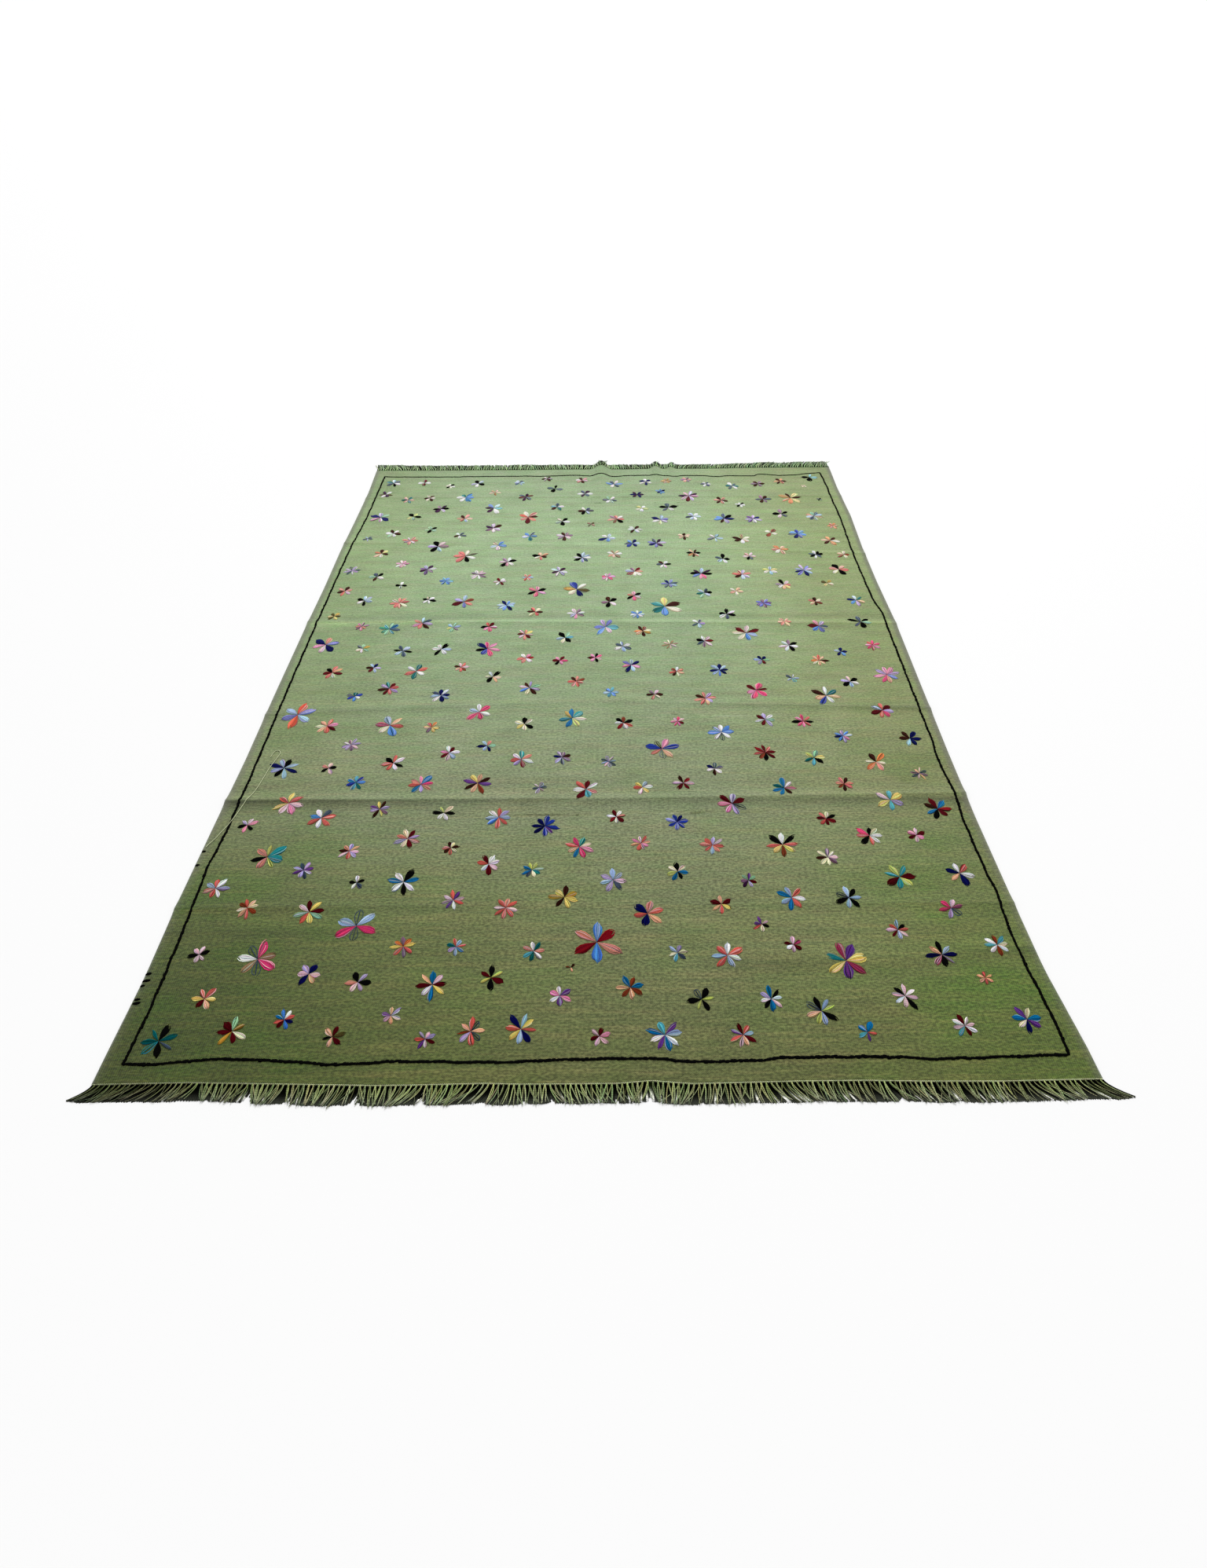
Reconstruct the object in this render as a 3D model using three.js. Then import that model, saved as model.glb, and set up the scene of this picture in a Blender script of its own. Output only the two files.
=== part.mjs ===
import * as THREE from 'three';
import { mergeVertices } from 'three/addons/utils/BufferGeometryUtils.js';

// A large flat-woven wool rug with a fringe at both ends, lying open on a floor.
// Millimetres. +X runs across the rug, +Y along it from the near end to the far
// end, +Z up. The origin is on the floor, under the middle of the whole outline.

// Cloth
const CLOTH_WIDTH = 2000;
const CLOTH_LENGTH = 2800;
const CLOTH_THICKNESS = 3;

// Selvages: the firm cord that each side edge is woven round
const SELVAGE_WIDTH = 14;
const SELVAGE_CREST = 6;
const SELVAGE_CREST_THICKNESS = 4.2;
const SELVAGE_EDGE_THICKNESS = 2.4;

// Fringe: a twined strip at each end, with warp locks knotted into it
const STRIP_GAP = 0.4;
const STRIP_WIDTH = 8;
const STRIP_HEIGHT = 3.4;
const LOCKS_PER_END = 140;
const ROOT_FILL = 0.66;
const TIP_FILL = 0.7;
const LOCK_TOP_SHARE = 0.6;
const FULL_REACH = { near: 44, far: 67 };
const LEAST_TIP_STEP = 6.5;
const REACH_SCATTER = 2.4;
const LOCK_BOW = 0.46;

// Loose yarn that lies on the face at the left side
const YARN_GAP = 0.35;
const YARN_DIAMETER = 2;
const YARN_SIDES = 8;
const YARN_STEPS = 72;

// Mesh spacing, and the least step between two stations
const ROW_SPACING = 165;
const COLUMN_SPACING = 125;
const LEAST_STATION_STEP = 5;

// How far each side stands outside or inside half the width, at places along the rug
const SIDE_LINES = [
  { along: -1400, left: 14, right: 14 },
  { along: -1330, left: 12, right: 10 },
  { along: -1150, left: 6, right: -8 },
  { along: -950, left: 10, right: -12 },
  { along: -700, left: 8, right: -15 },
  { along: -450, left: 5, right: -13 },
  { along: -150, left: 8, right: -7 },
  { along: 200, left: 9, right: 0 },
  { along: 450, left: 7, right: -4 },
  { along: 700, left: 10, right: -2 },
  { along: 950, left: 7, right: 7 },
  { along: 1200, left: 6, right: 2 },
  { along: 1350, left: 12, right: 5 },
  { along: 1400, left: 14, right: 5 },
];

// How far each end line stands outside or inside half the length, at shares across
const END_LINES = [
  { share: -1, near: -10, far: 10 },
  { share: -0.81, near: -12, far: 7 },
  { share: -0.7, near: -9, far: 5.5 },
  { share: -0.57, near: -5.5, far: 4.5 },
  { share: -0.44, near: -2, far: 3 },
  { share: -0.36, near: -2, far: 2.5 },
  { share: -0.22, near: -4, far: 2 },
  { share: -0.15, near: -1.5, far: 2 },
  { share: 0.04, near: -1, far: 0 },
  { share: 0.107, near: -6, far: -1 },
  { share: 0.19, near: 1, far: 1 },
  { share: 0.4, near: -2, far: -2 },
  { share: 0.53, near: -2, far: -1 },
  { share: 0.65, near: 1, far: 1 },
  { share: 0.8, near: 2.5, far: 0 },
  { share: 1, near: -0.5, far: -1 },
];

// Fold creases across the rug: where each one lies along the rug at the left side,
// the middle and the right side, how high it stands there, and its half width
const FOLDS = [
  { left: -962, middle: -966, right: -972, leftRise: 3, middleRise: 0.6, rightRise: 3, reach: 60 },
  { left: -612, middle: -620, right: -612, leftRise: 5, middleRise: 5, rightRise: 5, reach: 62 },
  { left: -258, middle: -208, right: -262, leftRise: 3.5, middleRise: 1, rightRise: 3.5, reach: 58 },
  { left: 228, middle: 208, right: 184, leftRise: 3.5, middleRise: 4.2, rightRise: 3.5, reach: 58 },
  { left: 768, middle: 732, right: 646, leftRise: 3, middleRise: 1.4, rightRise: 3, reach: 55 },
  { left: 1146, middle: 1136, right: 1122, leftRise: 2, middleRise: 3, rightRise: 2, reach: 50 },
];

// A fold's height at shares of its half width, between which it runs straight
const FOLD_PROFILE = [
  { share: 0, height: 1 },
  { share: 0.35, height: 0.3 },
  { share: 1, height: 0 },
];

// Ripples that lift the far end off the floor: how high, how wide to each side, and
// how far in they run. A ripple grows as this power of the way to the end
const RIPPLES = [
  { across: -12, rise: 20, reach: 52, run: 330 },
  { across: 230, rise: 14, reach: 36, run: 135 },
  { across: 297, rise: 10, reach: 30, run: 80 },
];
const RIPPLE_POWER = 1.4;
const RIPPLE_ROWS = [40, 80, 135];

// A lock's height at its middle and tip, and the width of the ripple that lifts it there
// as a share of the cloth's
const LOCK_MIDDLE = { height: 3.6, narrowing: 0.85 };
const LOCK_TIP = { height: 2.6, narrowing: 0.65 };

// Clumps of fringe: where each begins, how far it reaches out from the end line,
// and how its first and last locks lean, in degrees, towards +X if positive
const NEAR_CLUMPS = [
  { from: -1014, reach: 35, firstLean: -58, lastLean: -66 },
  { from: -885, reach: 37, firstLean: -48, lastLean: -34 },
  { from: -793, reach: 37, firstLean: 14, lastLean: -20 },
  { from: -752, reach: 38, firstLean: -4, lastLean: -32 },
  { from: -697, reach: 41, firstLean: 14, lastLean: -30 },
  { from: -618, reach: 42, firstLean: 8, lastLean: -38 },
  { from: -480, reach: 41, firstLean: 10, lastLean: -42 },
  { from: -346, reach: 41, firstLean: -4, lastLean: -50 },
  { from: -226, reach: 42, firstLean: -40, lastLean: 0 },
  { from: -143, reach: 40, firstLean: 20, lastLean: -12 },
  { from: -95, reach: 40, firstLean: 28, lastLean: 8 },
  { from: 15, reach: 40, firstLean: -5, lastLean: -28 },
  { from: 38, reach: 42, firstLean: 20, lastLean: -12 },
  { from: 104, reach: 44, firstLean: 24, lastLean: -30 },
  { from: 208, reach: 42, firstLean: -14, lastLean: 16 },
  { from: 285, reach: 41, firstLean: -6, lastLean: -16 },
  { from: 301, reach: 42, firstLean: 14, lastLean: 24 },
  { from: 345, reach: 43, firstLean: 34, lastLean: 38 },
  { from: 410, reach: 42, firstLean: 24, lastLean: 33 },
  { from: 598, reach: 42, firstLean: 40, lastLean: 14 },
  { from: 722, reach: 43, firstLean: 38, lastLean: 12 },
  { from: 782, reach: 41, firstLean: 24, lastLean: 32 },
  { from: 868, reach: 41, firstLean: 54, lastLean: 32 },
  { from: 945, reach: 40, firstLean: 40, lastLean: 57 },
];
const FAR_CLUMPS = [
  { from: -1014, reach: 66, firstLean: -10, lastLean: -24 },
  { from: -960, reach: 64, firstLean: -26, lastLean: -22 },
  { from: -870, reach: 58, firstLean: -20, lastLean: -16 },
  { from: -740, reach: 57, firstLean: -12, lastLean: -10 },
  { from: -600, reach: 57, firstLean: -8, lastLean: -4 },
  { from: -430, reach: 60, firstLean: 2, lastLean: -6 },
  { from: -290, reach: 57, firstLean: -8, lastLean: -2 },
  { from: -60, reach: 53, firstLean: -2, lastLean: 2 },
  { from: 30, reach: 54, firstLean: -6, lastLean: -10 },
  { from: 190, reach: 53, firstLean: -2, lastLean: 14 },
  { from: 330, reach: 50, firstLean: 16, lastLean: 20 },
  { from: 520, reach: 54, firstLean: 22, lastLean: 25 },
  { from: 650, reach: 63, firstLean: 24, lastLean: 25 },
  { from: 745, reach: 55, firstLean: 24, lastLean: 24 },
  { from: 800, reach: 64, firstLean: 23, lastLean: 24 },
  { from: 950, reach: 66, firstLean: 20, lastLean: -8 },
];

// The loose yarn's route over the cloth, from the selvage to its hooked free end
const YARN_ROUTE = [
  { across: -1001, along: -775 },
  { across: -997, along: -763 },
  { across: -987, along: -743 },
  { across: -980, along: -723 },
  { across: -970, along: -699 },
  { across: -966, along: -684 },
  { across: -961, along: -664 },
  { across: -956, along: -640 },
  { across: -947, along: -608 },
  { across: -937, along: -570 },
  { across: -931, along: -528 },
  { across: -926, along: -490 },
  { across: -920, along: -463 },
  { across: -914, along: -438 },
  { across: -913, along: -425 },
  { across: -918, along: -417 },
  { across: -926, along: -416 },
  { across: -932, along: -424 },
  { across: -936, along: -444 },
];

const CLOTH_GREEN = { color: 0x7a8b57, roughness: 0.94, metalness: 0 };
const FRINGE_GREEN = { color: 0x8d9b66, roughness: 0.96, metalness: 0 };
const YARN_GREEN = { color: 0xb3bc8b, roughness: 0.92, metalness: 0 };

const { lerp, clamp, degToRad, seededRandom } = THREE.MathUtils;

// Reads one column of a table at a place, on straight lines between its rows
function readTable(table, placeColumn, column, place) {
  const last = table[table.length - 1];
  if (place <= table[0][placeColumn]) return table[0][column];
  if (place >= last[placeColumn]) return last[column];
  const next = table.findIndex((row) => row[placeColumn] > place);
  const before = table[next - 1];
  const after = table[next];
  const part = (place - before[placeColumn]) / (after[placeColumn] - before[placeColumn]);
  return lerp(before[column], after[column], part);
}

// Value of a left, middle and right triple at a share across, from -1 to 1
function acrossTriple(left, middle, right, share) {
  return share < 0 ? lerp(middle, left, -share) : lerp(middle, right, share);
}

// Half the rug's width on the side where the share across points
function halfWidth(share, along) {
  const side = share < 0 ? 'left' : 'right';
  return CLOTH_WIDTH / 2 + readTable(SIDE_LINES, 'along', side, along);
}

// Distance from the rug's middle to one end of the cloth, at a share across it
function endDistance(share, end) {
  return CLOTH_LENGTH / 2 + readTable(END_LINES, 'share', end, share);
}

// How far the ripples lift the cloth, when each is narrowed to a share of its width
function rippleHeight(across, along, narrowing = 1) {
  const heights = RIPPLES.map((ripple) => {
    const share = clamp((across - ripple.across) / (ripple.reach * narrowing), -1, 1);
    const way = clamp((along - CLOTH_LENGTH / 2) / ripple.run + 1, 0, 1);
    return ripple.rise * 0.5 * (1 + Math.cos(Math.PI * share)) * way ** RIPPLE_POWER;
  });
  return Math.max(...heights);
}

// How far the cloth's underside stands off the floor
function lift(across, along) {
  const share = across / halfWidth(across, along);
  const folds = FOLDS.map((fold) => {
    const crest = acrossTriple(fold.left, fold.middle, fold.right, share);
    const rise = acrossTriple(fold.leftRise, fold.middleRise, fold.rightRise, share);
    return rise * readTable(FOLD_PROFILE, 'share', 'height', Math.abs(along - crest) / fold.reach);
  });
  return Math.max(...folds, rippleHeight(across, along));
}

// Thickness of the cloth, with the firmer cord along each side
function clothThickness(share, along) {
  const inset = (1 - Math.abs(share)) * halfWidth(share, along);
  if (inset < SELVAGE_CREST) {
    return lerp(SELVAGE_EDGE_THICKNESS, SELVAGE_CREST_THICKNESS, inset / SELVAGE_CREST);
  }
  const part = clamp((inset - SELVAGE_CREST) / (SELVAGE_WIDTH - SELVAGE_CREST), 0, 1);
  return lerp(SELVAGE_CREST_THICKNESS, CLOTH_THICKNESS, part);
}

// Sorts stations, drops near doubles and fills every gap wider than the spacing evenly
function fillStations(stations, columns, spacing) {
  const first = columns[0];
  const sorted = [...stations].sort((a, b) => a[first] - b[first]);
  const filled = [sorted[0]];
  for (const station of sorted.slice(1)) {
    const before = filled[filled.length - 1];
    const gap = station[first] - before[first];
    if (gap < LEAST_STATION_STEP) continue;
    const parts = Math.ceil(gap / spacing);
    for (let part = 1; part <= parts; part += 1) {
      const values = columns.map((name) => [name, lerp(before[name], station[name], part / parts)]);
      filled.push(Object.fromEntries(values));
    }
  }
  return filled;
}

// Stations across the cloth, as shares from -1 to 1: selvages, end line and ripples
function clothColumns() {
  const half = CLOTH_WIDTH / 2;
  const insets = [0, SELVAGE_CREST, SELVAGE_WIDTH];
  const places = [0, ...insets.flatMap((inset) => [inset - half, half - inset])];
  places.push(...END_LINES.map((row) => row.share * half));
  for (const ripple of RIPPLES) {
    for (const share of [-1, -0.5, 0, 0.5, 1]) places.push(ripple.across + share * ripple.reach);
  }
  const stations = fillStations(places.map((across) => ({ across })), ['across'], COLUMN_SPACING);
  return stations.map((station) => station.across / half);
}

// Stations along the cloth, each with its place at the left side, middle and right side
function clothRows() {
  const half = CLOTH_LENGTH / 2;
  const straight = [-half, half, ...RIPPLE_ROWS.map((inset) => half - inset)];
  const rows = straight.map((along) => ({ left: along, middle: along, right: along }));
  const shares = FOLD_PROFILE.flatMap((point) => (point.share ? [-point.share, point.share] : [0]));
  for (const fold of FOLDS) {
    for (const share of shares) {
      const offset = share * fold.reach;
      rows.push({ left: fold.left + offset, middle: fold.middle + offset, right: fold.right + offset });
    }
  }
  return fillStations(rows, ['left', 'middle', 'right'], ROW_SPACING);
}

// A point of the cloth's plan at a share across and a row, with both end lines uneven
function clothPlace(share, row) {
  let along = acrossTriple(row.left, row.middle, row.right, share);
  const across = share * halfWidth(share, along);
  if (row.left <= -CLOTH_LENGTH / 2) along = -endDistance(share, 'near');
  if (row.left >= CLOTH_LENGTH / 2) along = endDistance(share, 'far');
  return { across, along };
}

// Turns lists of points and of quads, as four corners seen from outside, into geometry
function quadGeometry(points, quads) {
  const geometry = new THREE.BufferGeometry();
  geometry.setAttribute('position', new THREE.Float32BufferAttribute(points.flat(), 3));
  geometry.setIndex(quads.flatMap(([a, b, c, d]) => [a, b, c, a, c, d]));
  geometry.computeVertexNormals();
  return geometry;
}

// The cloth: a top and a bottom grid that follow the folds, closed by four walls
function groundCloth() {
  const columns = clothColumns();
  const rows = clothRows();
  const points = [];
  const quads = [];
  for (const row of rows) {
    for (const share of columns) {
      const { across, along } = clothPlace(share, row);
      const bottom = lift(across, along);
      points.push([across, along, bottom], [across, along, bottom + clothThickness(share, along)]);
    }
  }
  const under = (row, column) => 2 * (row * columns.length + column);
  const over = (row, column) => under(row, column) + 1;
  const wall = (from, to) => quads.push([under(...from), under(...to), over(...to), over(...from)]);
  const lastRow = rows.length - 1;
  const lastColumn = columns.length - 1;
  for (let r = 0; r < lastRow; r += 1) {
    for (let c = 0; c < lastColumn; c += 1) {
      quads.push([over(r, c), over(r, c + 1), over(r + 1, c + 1), over(r + 1, c)]);
      quads.push([under(r, c), under(r + 1, c), under(r + 1, c + 1), under(r, c + 1)]);
    }
    wall([r + 1, 0], [r, 0]);
    wall([r, lastColumn], [r + 1, lastColumn]);
  }
  for (let c = 0; c < lastColumn; c += 1) {
    wall([0, c], [0, c + 1]);
    wall([lastRow, c + 1], [lastRow, c]);
  }
  return quadGeometry(points, quads);
}

// Roots of one end's locks, how far each reaches, and where each would be at full reach,
// one after the other across the rug, so that none crosses its neighbour
function layLocks(clumps, start, finish, fullReach) {
  const pitch = (finish - start) / LOCKS_PER_END;
  seededRandom(LOCKS_PER_END);
  const locks = [];
  for (let index = 0; index < LOCKS_PER_END; index += 1) {
    const root = start + (index + 0.5) * pitch;
    const clump = clumps.findLast((row) => row.from <= root) ?? clumps[0];
    const following = clumps[clumps.indexOf(clump) + 1];
    const share = (root - clump.from) / ((following?.from ?? finish) - clump.from);
    const lean = Math.tan(degToRad(lerp(clump.firstLean, clump.lastLean, share)));
    const scallop = 1 - 0.1 * (2 * share - 1) ** 4;
    const reach = clump.reach * scallop + REACH_SCATTER * (seededRandom() - 0.5);
    const least = index ? locks[index - 1].fullTip + LEAST_TIP_STEP : -Infinity;
    const fullTip = Math.max(root + lean * (fullReach - STRIP_WIDTH), least);
    locks.push({ root, reach, fullTip });
  }
  return locks;
}

// Width of a lock's slice at a share of full reach, from the step to its nearest neighbour
function sliceWidth(locks, index, share, fill) {
  const placeOf = (lock) => lerp(lock.root, lock.fullTip, share);
  const neighbours = [locks[index - 1], locks[index + 1]].filter(Boolean);
  const steps = neighbours.map((lock) => Math.abs(placeOf(lock) - placeOf(locks[index])));
  return fill * Math.min(...steps);
}

// One end's fringe: the twined strip, and locks that grow out of panels of its outer wall
function fringe(end, clumps) {
  const isFar = end === 'far';
  const corner = isFar ? CLOTH_LENGTH / 2 : -CLOTH_LENGTH / 2;
  const start = -halfWidth(-1, corner);
  const finish = halfWidth(1, corner);
  const fullReach = FULL_REACH[end];
  const locks = layLocks(clumps, start, finish, fullReach);
  const points = [];
  const quads = [];

  // A point at a distance out from the end line and a height above what carries it
  const addPoint = (across, out, height) => {
    const distance = endDistance(across / (across < 0 ? -start : finish), end) + out;
    points.push([across, isFar ? distance : -distance, height]);
    return points.length - 1;
  };
  // The far end alone is lifted by ripples
  const liftAt = (across, narrowing) => (
    isFar ? rippleHeight(across, CLOTH_LENGTH / 2, narrowing) : 0
  );
  const addStation = (across) => {
    const raised = liftAt(across, 1);
    return {
      innerLow: addPoint(across, STRIP_GAP, raised),
      innerHigh: addPoint(across, STRIP_GAP, raised + STRIP_HEIGHT),
      outerHigh: addPoint(across, STRIP_WIDTH, raised + STRIP_HEIGHT),
      outerLow: addPoint(across, STRIP_WIDTH, raised),
    };
  };
  const addSlice = (lock, centre, width, out, section) => {
    const raised = liftAt(lock.root, section.narrowing);
    return [
      addPoint(centre - width / 2, out, raised),
      addPoint(centre - (width / 2) * LOCK_TOP_SHARE, out, raised + section.height),
      addPoint(centre + (width / 2) * LOCK_TOP_SHARE, out, raised + section.height),
      addPoint(centre + width / 2, out, raised),
    ];
  };
  const joinStations = (a, b) => {
    quads.push([a.innerHigh, a.outerHigh, b.outerHigh, b.innerHigh]);
    quads.push([a.innerLow, b.innerLow, b.outerLow, a.outerLow]);
    quads.push([a.innerLow, a.innerHigh, b.innerHigh, b.innerLow]);
  };
  const joinSlices = (a, b) => {
    for (let side = 0; side < 4; side += 1) {
      const next = (side + 1) % 4;
      quads.push([a[side], b[side], b[next], a[next]]);
    }
  };
  const wall = (a, b) => quads.push([a.outerHigh, a.outerLow, b.outerLow, b.outerHigh]);
  const cap = (a) => [a.innerLow, a.outerLow, a.outerHigh, a.innerHigh];

  let previous = addStation(start);
  quads.push(cap(previous));
  locks.forEach((lock, index) => {
    const rootWidth = sliceWidth(locks, index, 0, ROOT_FILL);
    const left = addStation(lock.root - rootWidth / 2);
    const right = addStation(lock.root + rootWidth / 2);
    joinStations(previous, left);
    wall(previous, left);
    joinStations(left, right);
    const tipShare = (lock.reach - STRIP_WIDTH) / (fullReach - STRIP_WIDTH);
    const tipPlace = lerp(lock.root, lock.fullTip, tipShare);
    const tipWidth = sliceWidth(locks, index, tipShare, TIP_FILL);
    const middleOut = lerp(STRIP_WIDTH, lock.reach, 0.5);
    const middlePlace = lerp(lock.root, tipPlace, LOCK_BOW);
    const middleWidth = sliceWidth(locks, index, tipShare / 2, TIP_FILL);
    const root = [left.outerLow, left.outerHigh, right.outerHigh, right.outerLow];
    const middle = addSlice(lock, middlePlace, middleWidth, middleOut, LOCK_MIDDLE);
    const tip = addSlice(lock, tipPlace, tipWidth, lock.reach, LOCK_TIP);
    joinSlices(root, middle);
    joinSlices(middle, tip);
    quads.push([tip[0], tip[3], tip[2], tip[1]]);
    previous = right;
  });
  const last = addStation(finish);
  joinStations(previous, last);
  wall(previous, last);
  quads.push(cap(last).reverse());
  return quadGeometry(points, isFar ? quads.map((quad) => quad.reverse()) : quads);
}

// Height at which the yarn's centre line clears the cloth all round its own radius
function yarnHeight(across, along) {
  const radius = YARN_DIAMETER / 2;
  const tops = [[0, 0], [-radius, 0], [radius, 0], [0, -radius], [0, radius]].map(([dx, dy]) => {
    const x = across + dx;
    const y = along + dy;
    return lift(x, y) + clothThickness(x / halfWidth(x, y), y);
  });
  return Math.max(...tops) + YARN_GAP + radius;
}

// A curve in plan that lies on the cloth
class LaidCurve extends THREE.Curve {
  constructor(route) {
    super();
    const stops = route.map((stop) => new THREE.Vector3(stop.across, stop.along, 0));
    this.plan = new THREE.CatmullRomCurve3(stops);
  }

  getPoint(t, target = new THREE.Vector3()) {
    this.plan.getPoint(t, target);
    return target.setZ(yarnHeight(target.x, target.y));
  }
}

// The loose yarn: a round section drawn along its route
function looseYarn() {
  const corners = Array.from({ length: YARN_SIDES }, (_, side) => {
    const turn = (2 * Math.PI * side) / YARN_SIDES;
    return new THREE.Vector2(Math.cos(turn), Math.sin(turn)).multiplyScalar(YARN_DIAMETER / 2);
  });
  const tube = new THREE.ExtrudeGeometry(new THREE.Shape(corners), {
    steps: YARN_STEPS,
    extrudePath: new LaidCurve(YARN_ROUTE),
    bevelEnabled: false,
  });
  tube.deleteAttribute('normal');
  tube.deleteAttribute('uv');
  const merged = mergeVertices(tube);
  merged.computeVertexNormals();
  return merged;
}

// One named piece of the rug in its own finish
function piece(name, geometry, finish) {
  const mesh = new THREE.Mesh(geometry, new THREE.MeshStandardMaterial({ ...finish, flatShading: true }));
  mesh.name = name;
  return mesh;
}

const rug = new THREE.Group();
rug.add(
  piece('ground_cloth', groundCloth(), CLOTH_GREEN),
  piece('near_fringe', fringe('near', NEAR_CLUMPS), FRINGE_GREEN),
  piece('far_fringe', fringe('far', FAR_CLUMPS), FRINGE_GREEN),
  piece('loose_yarn', looseYarn(), YARN_GREEN),
);

// Brings the middle of the whole outline over the origin
const middle = new THREE.Box3().setFromObject(rug).getCenter(new THREE.Vector3());
rug.position.set(-middle.x, -middle.y, 0);

export default rug;
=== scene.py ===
"""A flat-woven green wool rug with embroidered flowers and a fringe at both ends.

It lies open on a floor. The script works in metres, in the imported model's frame. The tables
of the cloth and its needlework are in millimetres, in the cloth's own frame: X across it and
Y along it from its middle, towards the far end.
"""

import logging
import math
from dataclasses import dataclass, field
from enum import Enum
from typing import NamedTuple

import bpy
import numpy as np
from mathutils import Matrix, Vector


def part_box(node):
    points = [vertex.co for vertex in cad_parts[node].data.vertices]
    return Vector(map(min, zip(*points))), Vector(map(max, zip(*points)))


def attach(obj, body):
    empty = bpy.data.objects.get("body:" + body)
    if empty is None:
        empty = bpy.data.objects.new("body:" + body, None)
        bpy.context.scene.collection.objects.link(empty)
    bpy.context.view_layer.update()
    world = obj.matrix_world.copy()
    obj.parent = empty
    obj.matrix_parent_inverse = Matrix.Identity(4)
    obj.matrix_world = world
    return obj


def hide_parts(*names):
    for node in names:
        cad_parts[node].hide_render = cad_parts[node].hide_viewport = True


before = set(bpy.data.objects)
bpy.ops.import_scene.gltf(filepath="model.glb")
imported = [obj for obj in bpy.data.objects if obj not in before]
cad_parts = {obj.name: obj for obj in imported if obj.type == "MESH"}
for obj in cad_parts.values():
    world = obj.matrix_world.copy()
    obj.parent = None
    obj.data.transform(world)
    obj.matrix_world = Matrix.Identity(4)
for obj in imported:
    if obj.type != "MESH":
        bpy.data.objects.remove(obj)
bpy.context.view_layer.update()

LOG = logging.getLogger("rug")
MM = 0.001

Array = np.ndarray

# How far each side stands outside (+) or inside (-) half the width, at places along the rug
SIDE_LINES = {
    "along": (-1400, -1330, -1150, -950, -700, -450, -150, 200, 450, 700, 950, 1200, 1350, 1400),
    "left": (14, 12, 6, 10, 8, 5, 8, 9, 7, 10, 7, 6, 12, 14),
    "right": (14, 10, -8, -12, -15, -13, -7, 0, -4, -2, 7, 2, 5, 5),
}

# How far each end line stands outside half the length, at shares across
END_LINES = {
    "share": (-1, -0.81, -0.7, -0.57, -0.44, -0.36, -0.22, -0.15, 0.04, 0.107, 0.19, 0.4, 0.53,
              0.65, 0.8, 1),
    "near": (-10, -12, -9, -5.5, -2, -2, -4, -1.5, -1, -6, 1, -2, -2, 1, 2.5, -0.5),
    "far": (10, 7, 5.5, 4.5, 3, 2.5, 2, 2, 0, -1, 1, -2, -1, 1, 0, -1),
}

# The stitched border line: where each side of it runs, in order round the rug
BORDER_NEAR = {
    "across": (-968, -900, -780, -640, -530, -400, -200, -80, 110, 200, 330, 400, 600, 700, 966),
    "along": (-1350, -1350, -1341, -1347, -1355, -1350, -1354, -1350, -1349, -1357, -1355, -1350,
              -1351, -1356, -1350),
}
BORDER_RIGHT = {
    "along": (-1350, -1258, -1192, -1125, -1025, -940, -888, -808, -698, -612, -485, -392, -262,
              -42, 175, 255, 335, 592, 775, 942, 1128, 1201, 1277, 1344),
    "across": (966, 963, 957, 952, 950, 956, 952, 950, 949, 954, 948, 954, 955, 960, 963, 966, 954,
               950, 954, 959, 956, 958, 955, 953),
}
BORDER_FAR = {
    "across": (-966, -929, -790, -651, -582, -340, -270, -167, -115, -70, 41, 110, 162, 265, 310,
               351, 420, 495, 558, 650, 669, 690, 748, 781, 851, 887, 953),
    "along": (1350, 1346, 1342, 1339, 1341, 1340, 1336, 1342, 1343, 1335, 1328, 1335, 1336, 1330,
              1323, 1329, 1328, 1318, 1324, 1319, 1330, 1335, 1325, 1320, 1326, 1335, 1344),
}
BORDER_LEFT = {
    "along": (-1350, -1250, -1100, -928, -842, -742, -592, -262, -42, 242, 692, 942, 1158, 1350),
    "across": (-968, -963, -964, -970, -975, -969, -968, -972, -975, -976, -976, -966, -965, -966),
}

# The loose yarn's route over the cloth, from the selvage to its hooked free end
YARN_ROUTE = (
    (-1001, -775), (-997, -763), (-987, -743), (-980, -723), (-970, -699), (-966, -684),
    (-961, -664), (-956, -640), (-947, -608), (-937, -570), (-931, -528), (-926, -490),
    (-920, -463), (-914, -438), (-913, -425), (-918, -417), (-926, -416), (-932, -424),
    (-936, -444),
)


class Fold(NamedTuple):
    """A crease across the rug: its place and height at the left side, middle and right side."""

    left: float
    middle: float
    right: float
    left_rise: float
    middle_rise: float
    right_rise: float
    reach: float


FOLDS = (
    Fold(-962, -966, -972, 3, 0.6, 3, 60),
    Fold(-612, -620, -612, 5, 5, 5, 62),
    Fold(-258, -208, -262, 3.5, 1, 3.5, 58),
    Fold(228, 208, 184, 3.5, 4.2, 3.5, 58),
    Fold(768, 732, 646, 3, 1.4, 3, 55),
    Fold(1146, 1136, 1122, 2, 3, 2, 50),
)


class PaintedCreaseShade(NamedTuple):
    """A painted crease line, dark for a negative tone: places, strengths and reach to each side.
    """

    left: float
    middle: float
    right: float
    left_tone: float
    middle_tone: float
    right_tone: float
    near_reach: float
    far_reach: float


# Painted shade and painted highlight along the creases: the folds' own shading, laid into the
# cloth's colour
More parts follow.
